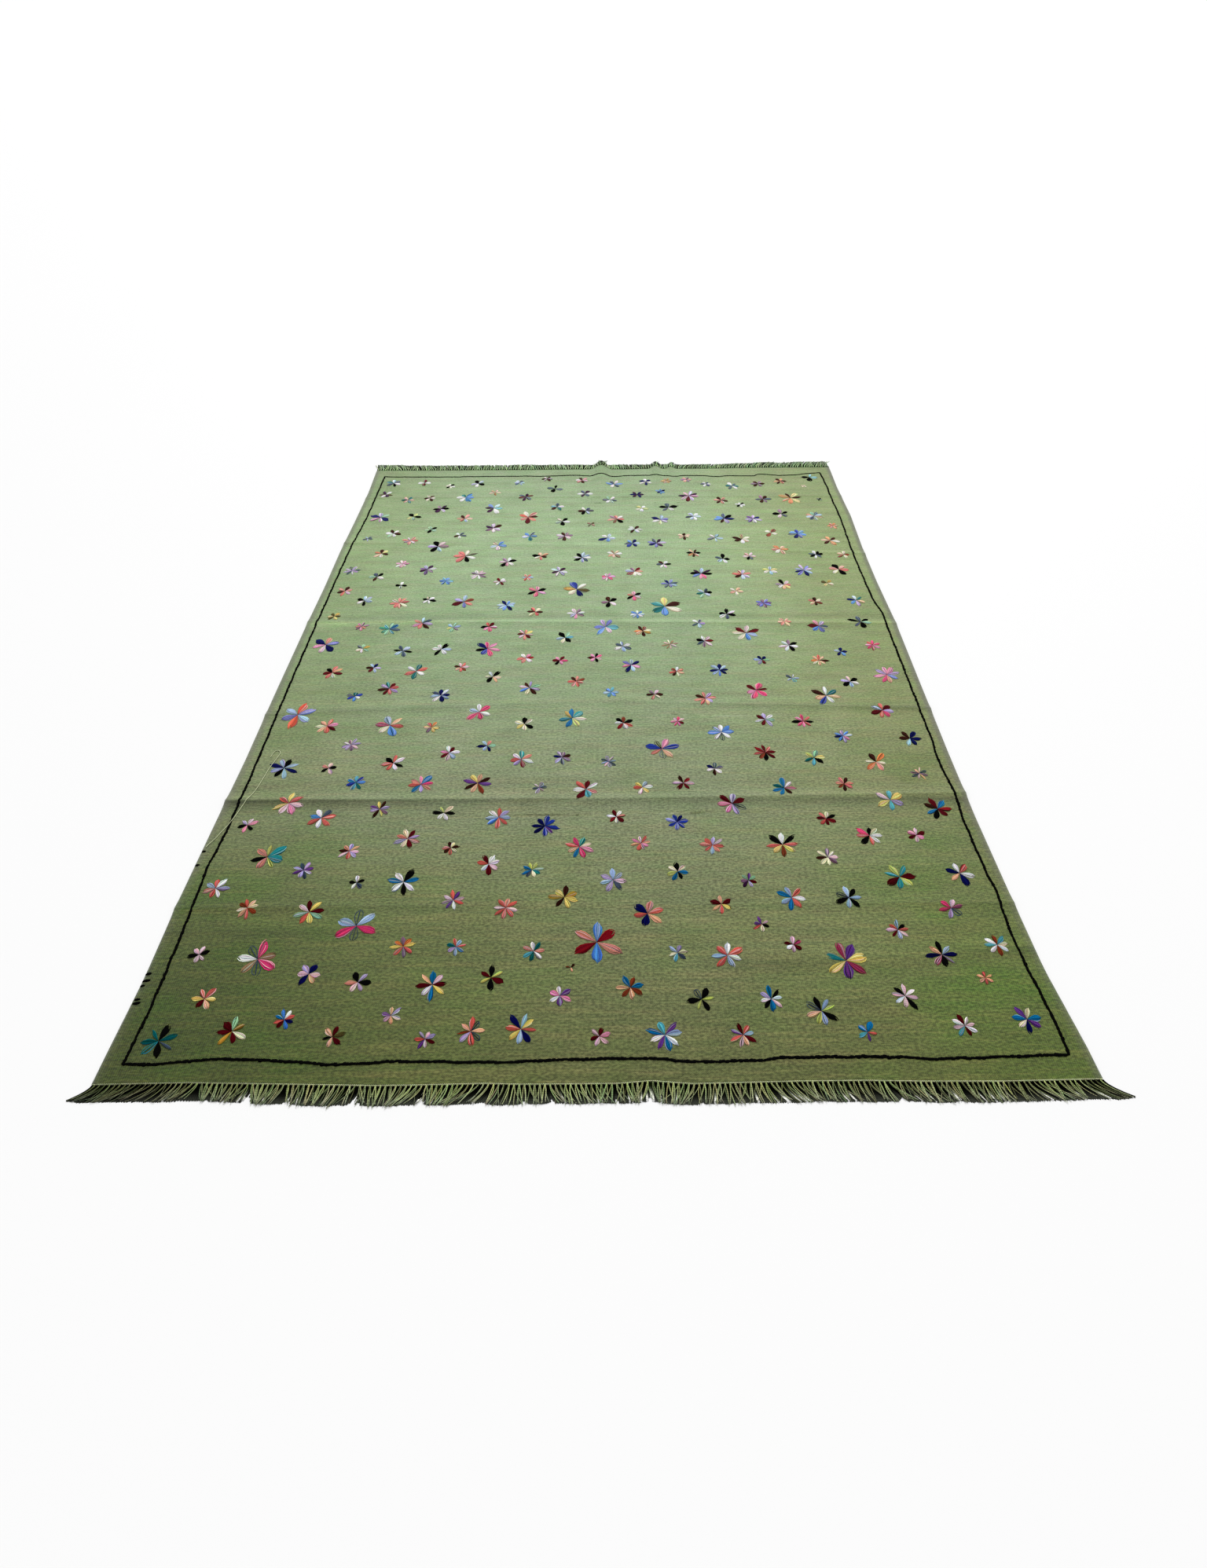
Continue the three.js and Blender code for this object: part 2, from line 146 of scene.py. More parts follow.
PAINTED_CREASE_SHADES = (
    PaintedCreaseShade(-1032, -1040, -1040, -0.26, -0.06, 0.0, 26, 18),
    PaintedCreaseShade(-998, -1006, -1006, 0.16, 0.03, 0.0, 22, 20),
    PaintedCreaseShade(-957, -975, -972, -0.12, -0.04, -0.08, 18, 22),
    PaintedCreaseShade(-1146, -1146, -1105, 0.0, -0.04, -0.44, 26, 16),
    PaintedCreaseShade(-1128, -1128, -1080, 0.0, 0.0, 0.54, 18, 22),
    PaintedCreaseShade(-616, -624, -630, -0.68, -0.17, -0.46, 58, 12),
    PaintedCreaseShade(-599, -604, -612, 0.14, 0.03, 0.08, 9, 34),
    PaintedCreaseShade(-548, -560, -552, -0.10, -0.04, -0.08, 40, 30),
    PaintedCreaseShade(-246, -215, -257, -0.30, -0.04, -0.34, 36, 14),
    PaintedCreaseShade(-214, -196, -218, 0.18, 0.09, 0.10, 14, 26),
    PaintedCreaseShade(217, 224, 194, 0.46, 0.12, 0.26, 26, 16),
    PaintedCreaseShade(238, 246, 218, -0.16, -0.10, -0.20, 12, 34),
    PaintedCreaseShade(257, 246, 238, -0.08, -0.08, -0.10, 12, 22),
    PaintedCreaseShade(712, 690, 662, 0.08, 0.05, 0.14, 16, 16),
    PaintedCreaseShade(749, 722, 684, -0.10, -0.04, -0.04, 11, 12),
    PaintedCreaseShade(1124, 1108, 1093, 0.08, 0.06, 0.10, 24, 18),
    PaintedCreaseShade(1153, 1148, 1130, -0.06, -0.07, -0.09, 12, 18),
)


class Ripple(NamedTuple):
    """A wave that lifts the far end: its height, its width to each side and its run inwards."""

    across: float
    rise: float
    reach: float
    run: float


RIPPLES = (Ripple(-12, 20, 52, 330), Ripple(230, 14, 36, 135), Ripple(297, 10, 30, 80))


class Wrinkle(NamedTuple):
    """A low soft ridge between two points of the cloth."""

    from_across: float
    from_along: float
    to_across: float
    to_along: float
    rise: float
    reach: float


WRINKLES = (
    Wrinkle(290, -1108, 700, -1082, 5.0, 26),
    Wrinkle(-330, -1058, -70, -1066, 1.6, 26),
    Wrinkle(240, -662, 330, -650, 1.8, 18),
    Wrinkle(380, -664, 470, -640, 2.0, 18),
    Wrinkle(150, -335, 285, -175, 2.2, 30),
    Wrinkle(440, -300, 590, -130, 1.8, 32),
    Wrinkle(-60, -365, 70, -230, 1.4, 30),
    Wrinkle(27, 250, 20, 1180, 1.4, 22),
    Wrinkle(520, 1010, 930, 985, 1.6, 30),
    Wrinkle(-840, -1180, -560, -1168, 1.2, 30),
)


class Clump(NamedTuple):
    """A clump of fringe: where it begins, its reach, and its first and last lean in degrees."""

    start: float
    reach: float
    first_lean: float
    last_lean: float


NEAR_CLUMPS = (
    Clump(-1014, 35, -54, -60), Clump(-885, 37, -48, -34), Clump(-793, 37, 14, -20),
    Clump(-752, 38, -4, -32), Clump(-697, 41, 14, -30), Clump(-618, 42, 8, -38),
    Clump(-480, 41, 10, -42), Clump(-346, 41, -4, -50), Clump(-226, 42, -40, 0),
    Clump(-143, 40, 20, -12), Clump(-95, 40, 28, 8), Clump(15, 40, -5, -28),
    Clump(38, 42, 20, -12), Clump(104, 44, 24, -30), Clump(208, 42, -14, 16),
    Clump(285, 41, -6, -16), Clump(301, 42, 14, 24), Clump(345, 43, 34, 38),
    Clump(410, 42, 24, 33), Clump(598, 42, 40, 14), Clump(722, 43, 38, 12),
    Clump(782, 41, 24, 32), Clump(868, 41, 54, 32), Clump(945, 40, 40, 57),
)
FAR_CLUMPS = (
    Clump(-1014, 66, -10, -24), Clump(-960, 64, -26, -22), Clump(-870, 58, -20, -16),
    Clump(-740, 57, -12, -10), Clump(-600, 57, -8, -4), Clump(-430, 60, 2, -6),
    Clump(-290, 57, -8, -2), Clump(-60, 53, -2, 2), Clump(30, 54, -6, -10),
    Clump(190, 53, -2, 14), Clump(330, 50, 16, 20), Clump(520, 54, 22, 25),
    Clump(650, 63, 24, 25), Clump(745, 55, 24, 24), Clump(800, 64, 23, 24),
    Clump(950, 66, 20, -8),
)


class Parting(NamedTuple):
    """A gap between clumps at the tips: its place, half its width and its share of the reach."""

    place: float
    half: float
    depth: float


NEAR_PARTINGS = (
    Parting(-773, 6, 0.10), Parting(-737, 8, 0.15), Parting(-692, 11, 0.50),
    Parting(-611, 9, 0.38), Parting(-478, 13, 0.50), Parting(-348, 10, 0.42),
    Parting(-228, 16, 0.12), Parting(-140, 7, 0.30), Parting(-86, 7, 0.25),
    Parting(41, 6, 0.25), Parting(107, 7, 0.25), Parting(208, 6, 0.12),
    Parting(606, 10, 0.25), Parting(718, 8, 0.10),
)


class Yarn(Enum):
    """The embroiderer's yarns, as they look in plain daylight."""

    BLACK = (8, 8, 12)
    NAVY = (14, 24, 104)
    ROYAL = (32, 62, 178)
    AZURE = (6, 124, 188)
    SKY = (74, 142, 230)
    ICE = (164, 192, 224)
    PERI = (122, 128, 214)
    TEAL = (14, 116, 118)
    TURQ = (38, 158, 164)
    AQUA = (92, 182, 200)
    JADE = (18, 146, 112)
    MINT = (150, 204, 164)
    LIME = (200, 210, 104)
    YELLOW = (244, 216, 112)
    GOLD = (204, 158, 58)
    CREAM = (238, 228, 190)
    WHITE = (238, 236, 240)
    PEACH = (244, 184, 144)
    SALMON = (230, 144, 126)
    CORAL = (228, 102, 92)
    VERM = (236, 88, 56)
    ORANGE = (238, 134, 66)
    RUST = (152, 66, 38)
    RED = (160, 18, 36)
    MAROON = (112, 16, 30)
    BROWN = (78, 40, 30)
    TAN = (172, 138, 104)
    OLIVE = (98, 88, 46)
    BLUSH = (230, 190, 202)
    PINK = (238, 138, 178)
    ROSE = (242, 62, 124)
    BERRY = (190, 62, 104)
    MAUVE = (148, 112, 140)
    LILAC = (186, 166, 216)
    PURPLE = (118, 66, 158)
    PLUM = (74, 38, 76)
    SLATE = (78, 94, 116)


# The flowers of the near half. Each row: across, along, reach, turn of the first petal in
# degrees, number of petals, then their yarns in order, which begin again when they run out.
# + is a broad petal, - a narrow one and ~ a petal that is only outlined.
NEAR_CHART = """
-915 -1300 40 76 7 black+ teal- teal turq~ black+ slate- teal
-768 -1280 35 30 7 gold mint maroon maroon gold maroon cream
-665 -1255 27 20 8 coral white sky azure coral maroon sky navy
-553 -1295 27 80 6 maroon peach black- peach maroon olive
-440 -1248 25 100 6 peach purple blush peach white lilac
-358 -1302 25 80 7 blush lilac coral purple blush maroon lilac
-265 -1286 33 95 8 coral+ peach rust- lilac coral+ slate~ peach slate~
-160 -1282 37 40 8 yellow ice navy+ coral yellow ice navy+ coral-
5 -1300 25 75 6 maroon blush maroon blush blush pink
142 -1298 38 15 8 ice purple aqua azure+ white purple azure+ white
305 -1300 30 110 8 maroon+ purple coral blush peach maroon+ ice coral
565 -1297 26 60 5 azure+ azure aqua purple- coral-
772 -1285 29 100 8 maroon white blush aqua maroon white blush white
907 -1272 34 10 7 azure+ cream purple azure+ cream navy purple
-853 -1204 29 60 6 coral+ coral yellow maroon peach yellow
-528 -1167 29 60 6 lilac black+ salmon blush
-642 -1145 31 60 6 navy+ lilac blush navy+ peach blush
-363 -1175 37 95 8 azure+ peach maroon white azure+ yellow maroon blush
-236 -1158 31 90 6 black+ maroon lime-
-82 -1205 29 95 6 white pink white purple pink purple
72 -1187 33 20 7 azure rust azure peach rust peach rust
225 -1217 32 65 6 black+ slate~ black+ lime- black lime-
375 -1218 30 50 8 black azure+ lilac white black azure+ blush white
478 -1248 37 60 8 ice black+ slate~ peach lime ice black+ lime-
665 -1214 30 125 8 black+ blush white blush
852 -1172 20 30 6 peach coral peach
-905 -1092 25 15 6 black+ blush blush
-768 -1105 49 75 7 rose+ slate~ white tan slate~ rose+ tan
-565 -1018 48 35 6 ice+ slate~ ice+ rose+ slate~ rose+
-445 -1075 32 10 8 yellow orange mauve orange yellow coral mauve coral
-324 -1078 25 60 7 ice coral teal lilac ice sky coral-
-146 -1092 29 105 7 white salmon aqua teal white salmon teal
-60 -1135 13 50 3 brown rust- peach-
-3 -1070 55 88 6 sky+ salmon+ red+
180 -1100 25 20 6 cream lilac ice cream aqua slate
292 -1108 39 30 7 coral+ white coral ice coral+ ice white
444 -1083 26 90 6 blush maroon white blush maroon berry
556 -1125 52 10 7 yellow+ purple berry turq
775 -1112 36 90 8 black+ peach navy+ berry black+ mauve- navy+ ice
907 -1088 31 95 8 rust white aqua white rust white cream aqua
-835 -965 31 60 8 peach coral rust cream
-685 -978 42 15 8 maroon yellow maroon blush mint coral yellow mint
-348 -948 31 65 8 purple coral blush mauve purple white coral blush
-220 -972 34 40 8 coral salmon coral blush
-82 -942 37 85 7 brown yellow gold brown yellow yellow gold
116 -992 40 20 6 coral salmon navy+ coral navy+ peach
292 -968 29 90 6 peach maroon peach coral yellow maroon
380 -1025 22 -20 6 black blush purple purple coral cream
462 -950 39 50 7 coral ice azure+ ice azure+ coral white
598 -953 36 50 7 black+ ice slate~ black+ ice black ice
692 -1045 28 45 8 black ice coral blush maroon ice blush coral
832 -986 31 70 6 blush rose berry lilac slate~ pink
-932 -905 34 50 7 white coral ice salmon coral white lilac
-592 -892 23 95 5 white black white slate black
-477 -892 42 65 7 black+ white azure white
35 -892 38 95 7 ice lilac ice lilac slate blush
194 -868 33 95 7 black cream lime azure black azure cream
365 -897 25 80 7 purple mint mauve plum lilac maroon mint
735 -892 43 5 7 maroon+ turq lime turq
885 -882 38 45 6 coral white navy peach navy+ white
-732 -852 29 20 8 purple lilac slate lilac
-835 -808 46 40 7 turq+ lime- salmon black salmon lime-
-275 -838 34 65 7 white maroon+ coral white maroon+ blush
-166 -858 29 65 8 lime lime azure azure slate cream turq mint
572 -828 33 90 8 mauve cream brown cream cream mauve blush cream
-632 -792 29 40 8 peach lilac salmon brown blush coral lilac blush
-492 -752 37 65 8 maroon cream salmon lilac cream maroon salmon lilac
-377 -785 25 70 7 cream brown coral brown coral
-50 -785 38 25 8 cream turq rose+ coral peach azure rose+ pink+
106 -776 27 60 8 coral blush pink peach
287 -785 34 80 8 lilac coral salmon coral ice salmon coral blush
465 -785 42 45 8 black+ white black+ coral yellow rust yellow coral
692 -758 38 90 8 black rose coral black+ coral white white cream
812 -758 27 25 6 maroon blush pink
-920 -700 28 75 6 blush lilac black pink black pink
-142 -714 37 85 8 royal+ navy navy navy royal+ purple royal+ royal
202 -705 30 60 7 navy royal+ peri royal peri royal royal+
592 -698 29 75 7 cream salmon maroon coral maroon red black
44 -684 28 70 7 white maroon white red white maroon salmon
892 -668 39 50 7 azure+ maroon+ brown azure black maroon red
-832 -625 43 90 7 yellow coral yellow blush pink+ blush coral
-732 -678 40 110 7 white sky coral white coral coral slate
-585 -648 31 60 8 brown yellow purple lilac brown yellow mauve lilac
-412 -664 31 -5 6 black+ cream lime- black+ white white
-265 -682 39 90 8 coral white ice sky coral coral ice lilac
352 -642 44 30 7 maroon lilac maroon pink+ pink lilac slate~
775 -635 40 30 6 yellow+ aqua blush yellow+ aqua lilac
-670 -548 31 50 7 royal aqua azure royal aqua teal sky
-490 -558 38 55 8 azure+ pink salmon coral azure+ lilac salmon rose
-335 -555 43 30 8 brown peach yellow purple brown peach rust purple
-165 -575 23 70 6 lilac~ blush- slate~
-38 -582 42 30 7 white maroon coral white maroon+ aqua coral
116 -577 31 65 6 ice yellow coral blush yellow white
228 -562 31 55 6 red brown blush maroon maroon blush
500 -585 35 45 7 white azure+ teal azure azure brown berry
665 -572 28 60 7 brown coral salmon rust
-885 -487 42 25 8 ice black ice navy+
-760 -490 26 80 5 blush salmon black blush black
-582 -473 36 36 7 white coral black coral coral white black
-223 -462 38 35 7 salmon turq white coral lilac red white
-108 -455 30 70 7 mauve lilac navy lilac slate mauve brown
23 -475 27 60 8 blush- lilac~ slate~ ice-
318 -508 28 20 6 slate slate navy white brown white
468 -445 34 95 8 maroon red coral rust black+ maroon maroon coral
602 -468 34 20 6 yellow mint lime teal aqua black
772 -488 40 50 6 orange+ brown cream- orange+ salmon cream-
880 -535 27 70 8 blush- peach- mauve~ slate~
-718 -395 30 65 8 lilac mauve blush lilac
-430 -432 34 60 7 maroon white pink maroon blush ice white
-325 -405 27 60 6 salmon ice navy+ ice navy mint
175 -425 48 10 7 royal+ pink+ brown~ royal+ salmon slate~ peach
702 -378 31 95 8 lilac sky navy sky lilac pink ice sky
892 -392 36 60 6 navy brown brown ice navy
352 -357 40 0 8 sky+ sky white ice sky+ white slate~ white
-808 -312 38 75 7 coral peach cream peach coral maroon pink
-622 -312 47 48 6 peach ice+ berry cream sky+ coral
-498 -322 30 0 6 yellow orange coral peach mauve gold
-225 -312 32 95 6 black+ cream yellow cream
-85 -288 46 40 7 turq+ azure gold- turq azure+ lime cream
67 -312 34 30 7 black rust black white red white coral
228 -307 25 80 7 rose blush pink rose pink maroon blush
487 -302 34 45 7 white lilac maroon white maroon lilac mint
598 -312 31 0 8 black+ coral rose pink black+ rose pink coral
842 -268 36 45 7 maroon+ coral ice maroon+ coral rose lilac
-908 -262 55 25 6 peri verm+ ice
-365 -255 38 45 6 rose+ white ice rose+ rose white
-757 -175 28 90 6 teal slate royal sky white royal
-492 -175 36 100 8 navy+ slate ice white navy+ ice navy white
-222 -142 38 75 8 lilac brown blush sky cream brown lilac mint
-658 -138 38 60 8 maroon turq lilac brown maroon coral lilac coral
-78 -112 30 80 7 salmon brown coral salmon coral salmon rust
30 -168 28 70 6 aqua sky ice
164 -180 29 10 6 brown blush mauve brown salmon cream
318 -202 38 60 8 lilac salmon brown salmon coral peach lilac coral
478 -165 42 75 6 rose+ maroon pink rose+ rose+ maroon-
688 -195 45 40 7 teal white brown+ peach royal+ white peach
598 -108 26 70 5 ice- slate~ ice- aqua~
775 -128 32 35 6 black+ blush lilac black+ ice white
898 -95 44 10 8 lilac pink+ pink lilac pink+ rose+ peach peri
-855 -55 37 35 7 peach coral black maroon coral cream maroon
-728 -32 27 60 6 navy ice brown maroon ice lilac
-588 -52 38 85 6 teal+ white coral
-448 -35 27 60 7 coral blush brown peach coral rust blush
-342 -85 32 55 6 black+ white cream black+ peach cream
95 -32 37 35 7 navy ice peri pink navy+ ice pink
238 -68 29 85 7 white rust coral brown cream peach salmon
375 -62 35 90 8 navy+ ice navy+ ice sky navy navy ice
516 -12 28 60 6 navy navy ice lilac maroon mint
698 -18 32 45 8 peach coral peach orange cream peach peach brown
"""

# The flowers of the far half, in the same columns
FAR_CHART = """
-245 12 31 65 6 pink white coral salmon white red
-135 -3 27 60 6 maroon pink maroon black pink rose
-20 10 28 80 7 black pink maroon pink black blush rose
778 28 26 85 5 navy ice navy sky
888 62 30 70 7 rose coral pink
-652 58 36 -10 6 black- ice slate
-526 65 36 60 6 black+ white white black+ white ice
-375 65 44 40 7 pink rose navy+ black royal rose+
-913 95 48 75 6 salmon navy+ pink blush navy+ peri
-786 72 28 30 6 gold mint slate cream white mint
225 78 34 60 8 tan- cream- blush- tan-
340 95 34 55 7 blush white black slate mauve blush maroon
615 65 36 35 7 black+ mauve white blush white black+ white
-122 122 34 65 6 mint black+ ice cream black+ aqua
-257 143 34 40 8 yellow salmon blush maroon blush salmon maroon blush
482 138 47 30 7 maroon+ blush maroon+ cream cream sky ice
138 155 34 15 7 cream rust brown orange peach brown gold
732 172 38 50 6 lilac pink maroon+ sky peri slate
-720 182 36 35 8 azure+ mint aqua jade jade+ mint aqua slate
12 182 47 0 6 aqua+ peri lilac peri sky+ blush
-382 188 32 50 6 maroon coral black pink rose pink
-505 188 30 80 6 mint- ice lime- mint mauve- ice
328 195 27 60 5 slate white slate ice lilac
620 198 28 60 6 peach salmon
878 192 38 45 6 black+ slate black+ slate- black+ mint
-818 198 27 70 7 mauve pink salmon
-612 212 38 45 7 slate ice salmon pink coral brown+ lilac
430 252 36 40 6 white black black white slate black
-926 262 28 60 6 gold olive yellow olive yellow olive
-88 265 36 70 7 mauve blush white lilac pink mauve white
-232 275 32 -5 6 brown cream coral
218 302 57 30 6 brown+ yellow+ turq teal+ sky+ cream+
565 315 32 60 8 peri mauve peri purple
-335 318 36 35 8 ice sky navy+ ice
748 322 30 90 6 brown coral peach brown rust cream
892 328 36 40 6 teal ice navy sky lilac peach
25 335 34 40 5 black+ brown mauve black+ blush
-715 342 40 55 8 coral salmon cream coral
-488 345 42 30 6 rust+ ice lilac maroon+ peri coral
-842 358 32 40 6 ice ice black+ white black+
-615 358 28 -15 6 black white cream black white white
112 372 34 35 6 black pink salmon black rose blush
364 385 34 70 6 slate ice teal mint ice black
478 395 30 60 5 peach cream salmon cream
-234 408 36 30 6 black+ pink rose+ black+ rose+ pink
-92 418 53 50 6 cream royal+ gold cream navy+ olive
-926 422 34 80 6 brown salmon brown coral blush salmon
655 435 36 60 7 blush black+ mauve white peach yellow coral
812 442 27 60 4 gold olive yellow cream
242 448 34 20 7 slate peri navy peri slate peri ice
-730 455 24 90 4 white black
-373 475 27 60 6 white maroon blush
-572 482 30 60 6 sky aqua sky azure
18 498 30 60 7 pink blush rose
512 508 38 65 7 lilac salmon coral brown ice lilac coral
362 515 42 40 8 plum+ ice plum black+ sky pink+ rose black
-830 518 34 40 5 black slate mint brown white
618 532 32 30 6 yellow ice lime cream ice white
743 532 40 60 8 peri lilac ice navy peri navy+ ice lilac
118 535 38 60 7 maroon mauve ice rust+ cream cream salmon
872 535 40 50 6 peach black+ salmon cream black+ coral
-458 525 36 60 8 blush white mauve blush
-160 542 36 45 7 plum lilac ice plum blush lilac white
-932 562 34 60 8 lilac~ slate~ lilac-
-652 565 36 60 7 plum lilac purple plum purple+ mauve white
228 585 30 60 6 white brown slate white blush black
452 618 32 80 5 black+ slate ice white black
-752 605 29 60 7 pink blush
-358 612 38 20 7 black+ white mauve blush black+ pink white
555 635 32 60 6 blush salmon blush black slate
-78 638 40 40 8 ice ice black+ white black+ ice slate white
808 642 30 60 7 black white slate
-235 652 32 40 6 orange peach black+ cream coral brown
-522 658 50 29 7 olive- cream coral+ coral coral+ black+ cream
44 662 34 60 7 peach tan white salmon
347 662 30 60 7 brown peach black orange
678 682 38 60 6 peach orange salmon cream
-846 685 34 40 6 yellow brown orange peach cream brown
-405 735 38 60 5 sky peach ice blush
-638 732 44 55 6 blush black+ lilac black+ ice mauve
114 742 36 60 6 navy sky slate royal navy ice
208 742 40 60 7 plum slate peri navy peri plum lilac
882 748 38 45 6 brown orange peach brown orange cream
542 765 40 30 6 cream tan brown+ brown white
438 778 36 60 5 ice white- slate ice-
-752 778 36 60 7 salmon blush coral mauve
765 805 40 40 7 sky royal sky slate navy+ peri
-565 818 28 60 5 slate white brown white
-150 805 38 60 7 mauve brown blush
-288 808 36 60 5 slate sky ice teal+ sky
-830 838 36 60 6 white brown white mint
18 785 34 60 5 ice white navy+ sky
662 815 32 60 4 rust+ cream
-438 875 40 35 6 brown+ lilac plum mauve blush lilac
-165 925 34 60 5 black+ cream mint black+ white
55 938 42 45 7 blush coral mauve salmon rust black+ coral
232 928 40 20 6 peri ice navy+ blush cream lilac
488 935 44 -10 7 navy+ black+ slate sky sky brown lilac
605 928 40 30 7 navy lilac purple lilac purple white lilac
367 955 36 60 6 white ice slate ice
855 948 40 60 8 slate mint salmon ice
-563 955 38 60 6 salmon brown peach coral ice peach
-305 962 48 60 7 coral+ cream verm coral maroon+ coral brown
725 968 34 30 5 black+ mauve black+ blush slate
-908 972 46 95 6 lilac navy+ pink blush navy+ mint
-775 978 32 60 5 lime black+ lime mint black+
-72 1012 38 60 6 slate white brown black ice
158 1028 30 60 5 white lime cream
268 1035 42 90 5 slate black+ slate white black+
-453 1042 44 55 6 ice sky plum plum white+ aqua
-672 1042 38 60 6 plum mauve black plum lilac black
-192 1048 34 85 5 slate aqua brown teal+ white
785 1105 54 55 7 yellow+ brown- gold+ orange- orange+ yellow brown-
360 1132 48 -10 8 pink plum lilac pink plum pink maroon+ lilac
-462 1185 28 60 5 peach orange
-582 1138 42 60 6 azure+ teal white white azure+ sky
-208 1215 38 75 4 black+ slate
898 1298 38 170 4 black+ black+ aqua aqua-
-912 1282 38 40 6 slate ice teal slate black white
-544 1272 34 120 5 black+ ice white
-275 502 26 60 6 coral salmon ice
-686 868 30 40 5 black mint mint
-48 898 22 50 4 olive tan
-922 798 24 60 5 slate~ ice-
125 852 32 60 6 brown white white
318 795 30 30 6 peach brown peach
915 865 26 60 6 orange salmon
568 1050 26 45 6 black white white
-778 1282 32 90 4 maroon white
-662 1248 26 50 6 black cream cream
-365 1275 28 60 6 slate ice ice
-248 1308 26 60 6 brown blush
-95 1292 32 45 6 salmon brown blush
-925 1175 34 60 6 white plum olive
-822 1122 32 60 6 teal salmon
-732 1135 28 60 6 brown cream
-328 1138 36 20 6 maroon plum slate
-78 1165 38 60 6 plum slate white
45 1252 38 60 6 blush slate sky
183 1272 34 35 6 navy white
272 1278 28 60 6 gold tan
360 1288 28 60 6 mauve salmon
442 1245 26 60 6 slate white
552 1225 36 60 6 slate white teal
665 1242 34 60 6 mauve brown
765 1265 32 60 6 orange brown
858 1215 14 60 4 peach
142 1152 32 60 6 navy plum
28 1105 34 60 6 white mint slate
492 1092 34 50 6 salmon brown
668 1098 36 60 6 brown mauve slate
905 1092 14 60 4 black slate
"""


def interpolate(table: dict[str, tuple], place: str, column: str, at: Array) -> Array:
    """Read a table on straight lines between its rows.

    Args:
        table: Named columns in millimetres, or shares for the place.
        place: The column that says where each row is.
        column: The column to read.
        at: The places to read at.

    Returns:
        The values there, in the column's units.
    """
    return np.interp(at, table[place], table[column])


def smooth_step(low: float, high: float, value: Array) -> Array:
    """A smooth climb from 0 at low to 1 at high."""
    part = np.clip((value - low) / (high - low), 0.0, 1.0)
    return part * part * (3.0 - 2.0 * part)


def between_sides(left: Array | float, middle: Array | float, right: Array | float,
                  share: Array) -> Array:
    """Run straight from the left side's value to the middle's, and on to the right side's.

    Args:
        left: The value at the left side.
        middle: The value halfway across.
        right: The value at the right side.
        share: Places across, from -1 at the left side to 1 at the right.

    Returns:
        The values there.
    """
    to_right = np.clip(share, 0, 1)
    to_left = np.clip(-share, 0, 1)
    return middle * (1 - to_right - to_left) + right * to_right + left * to_left


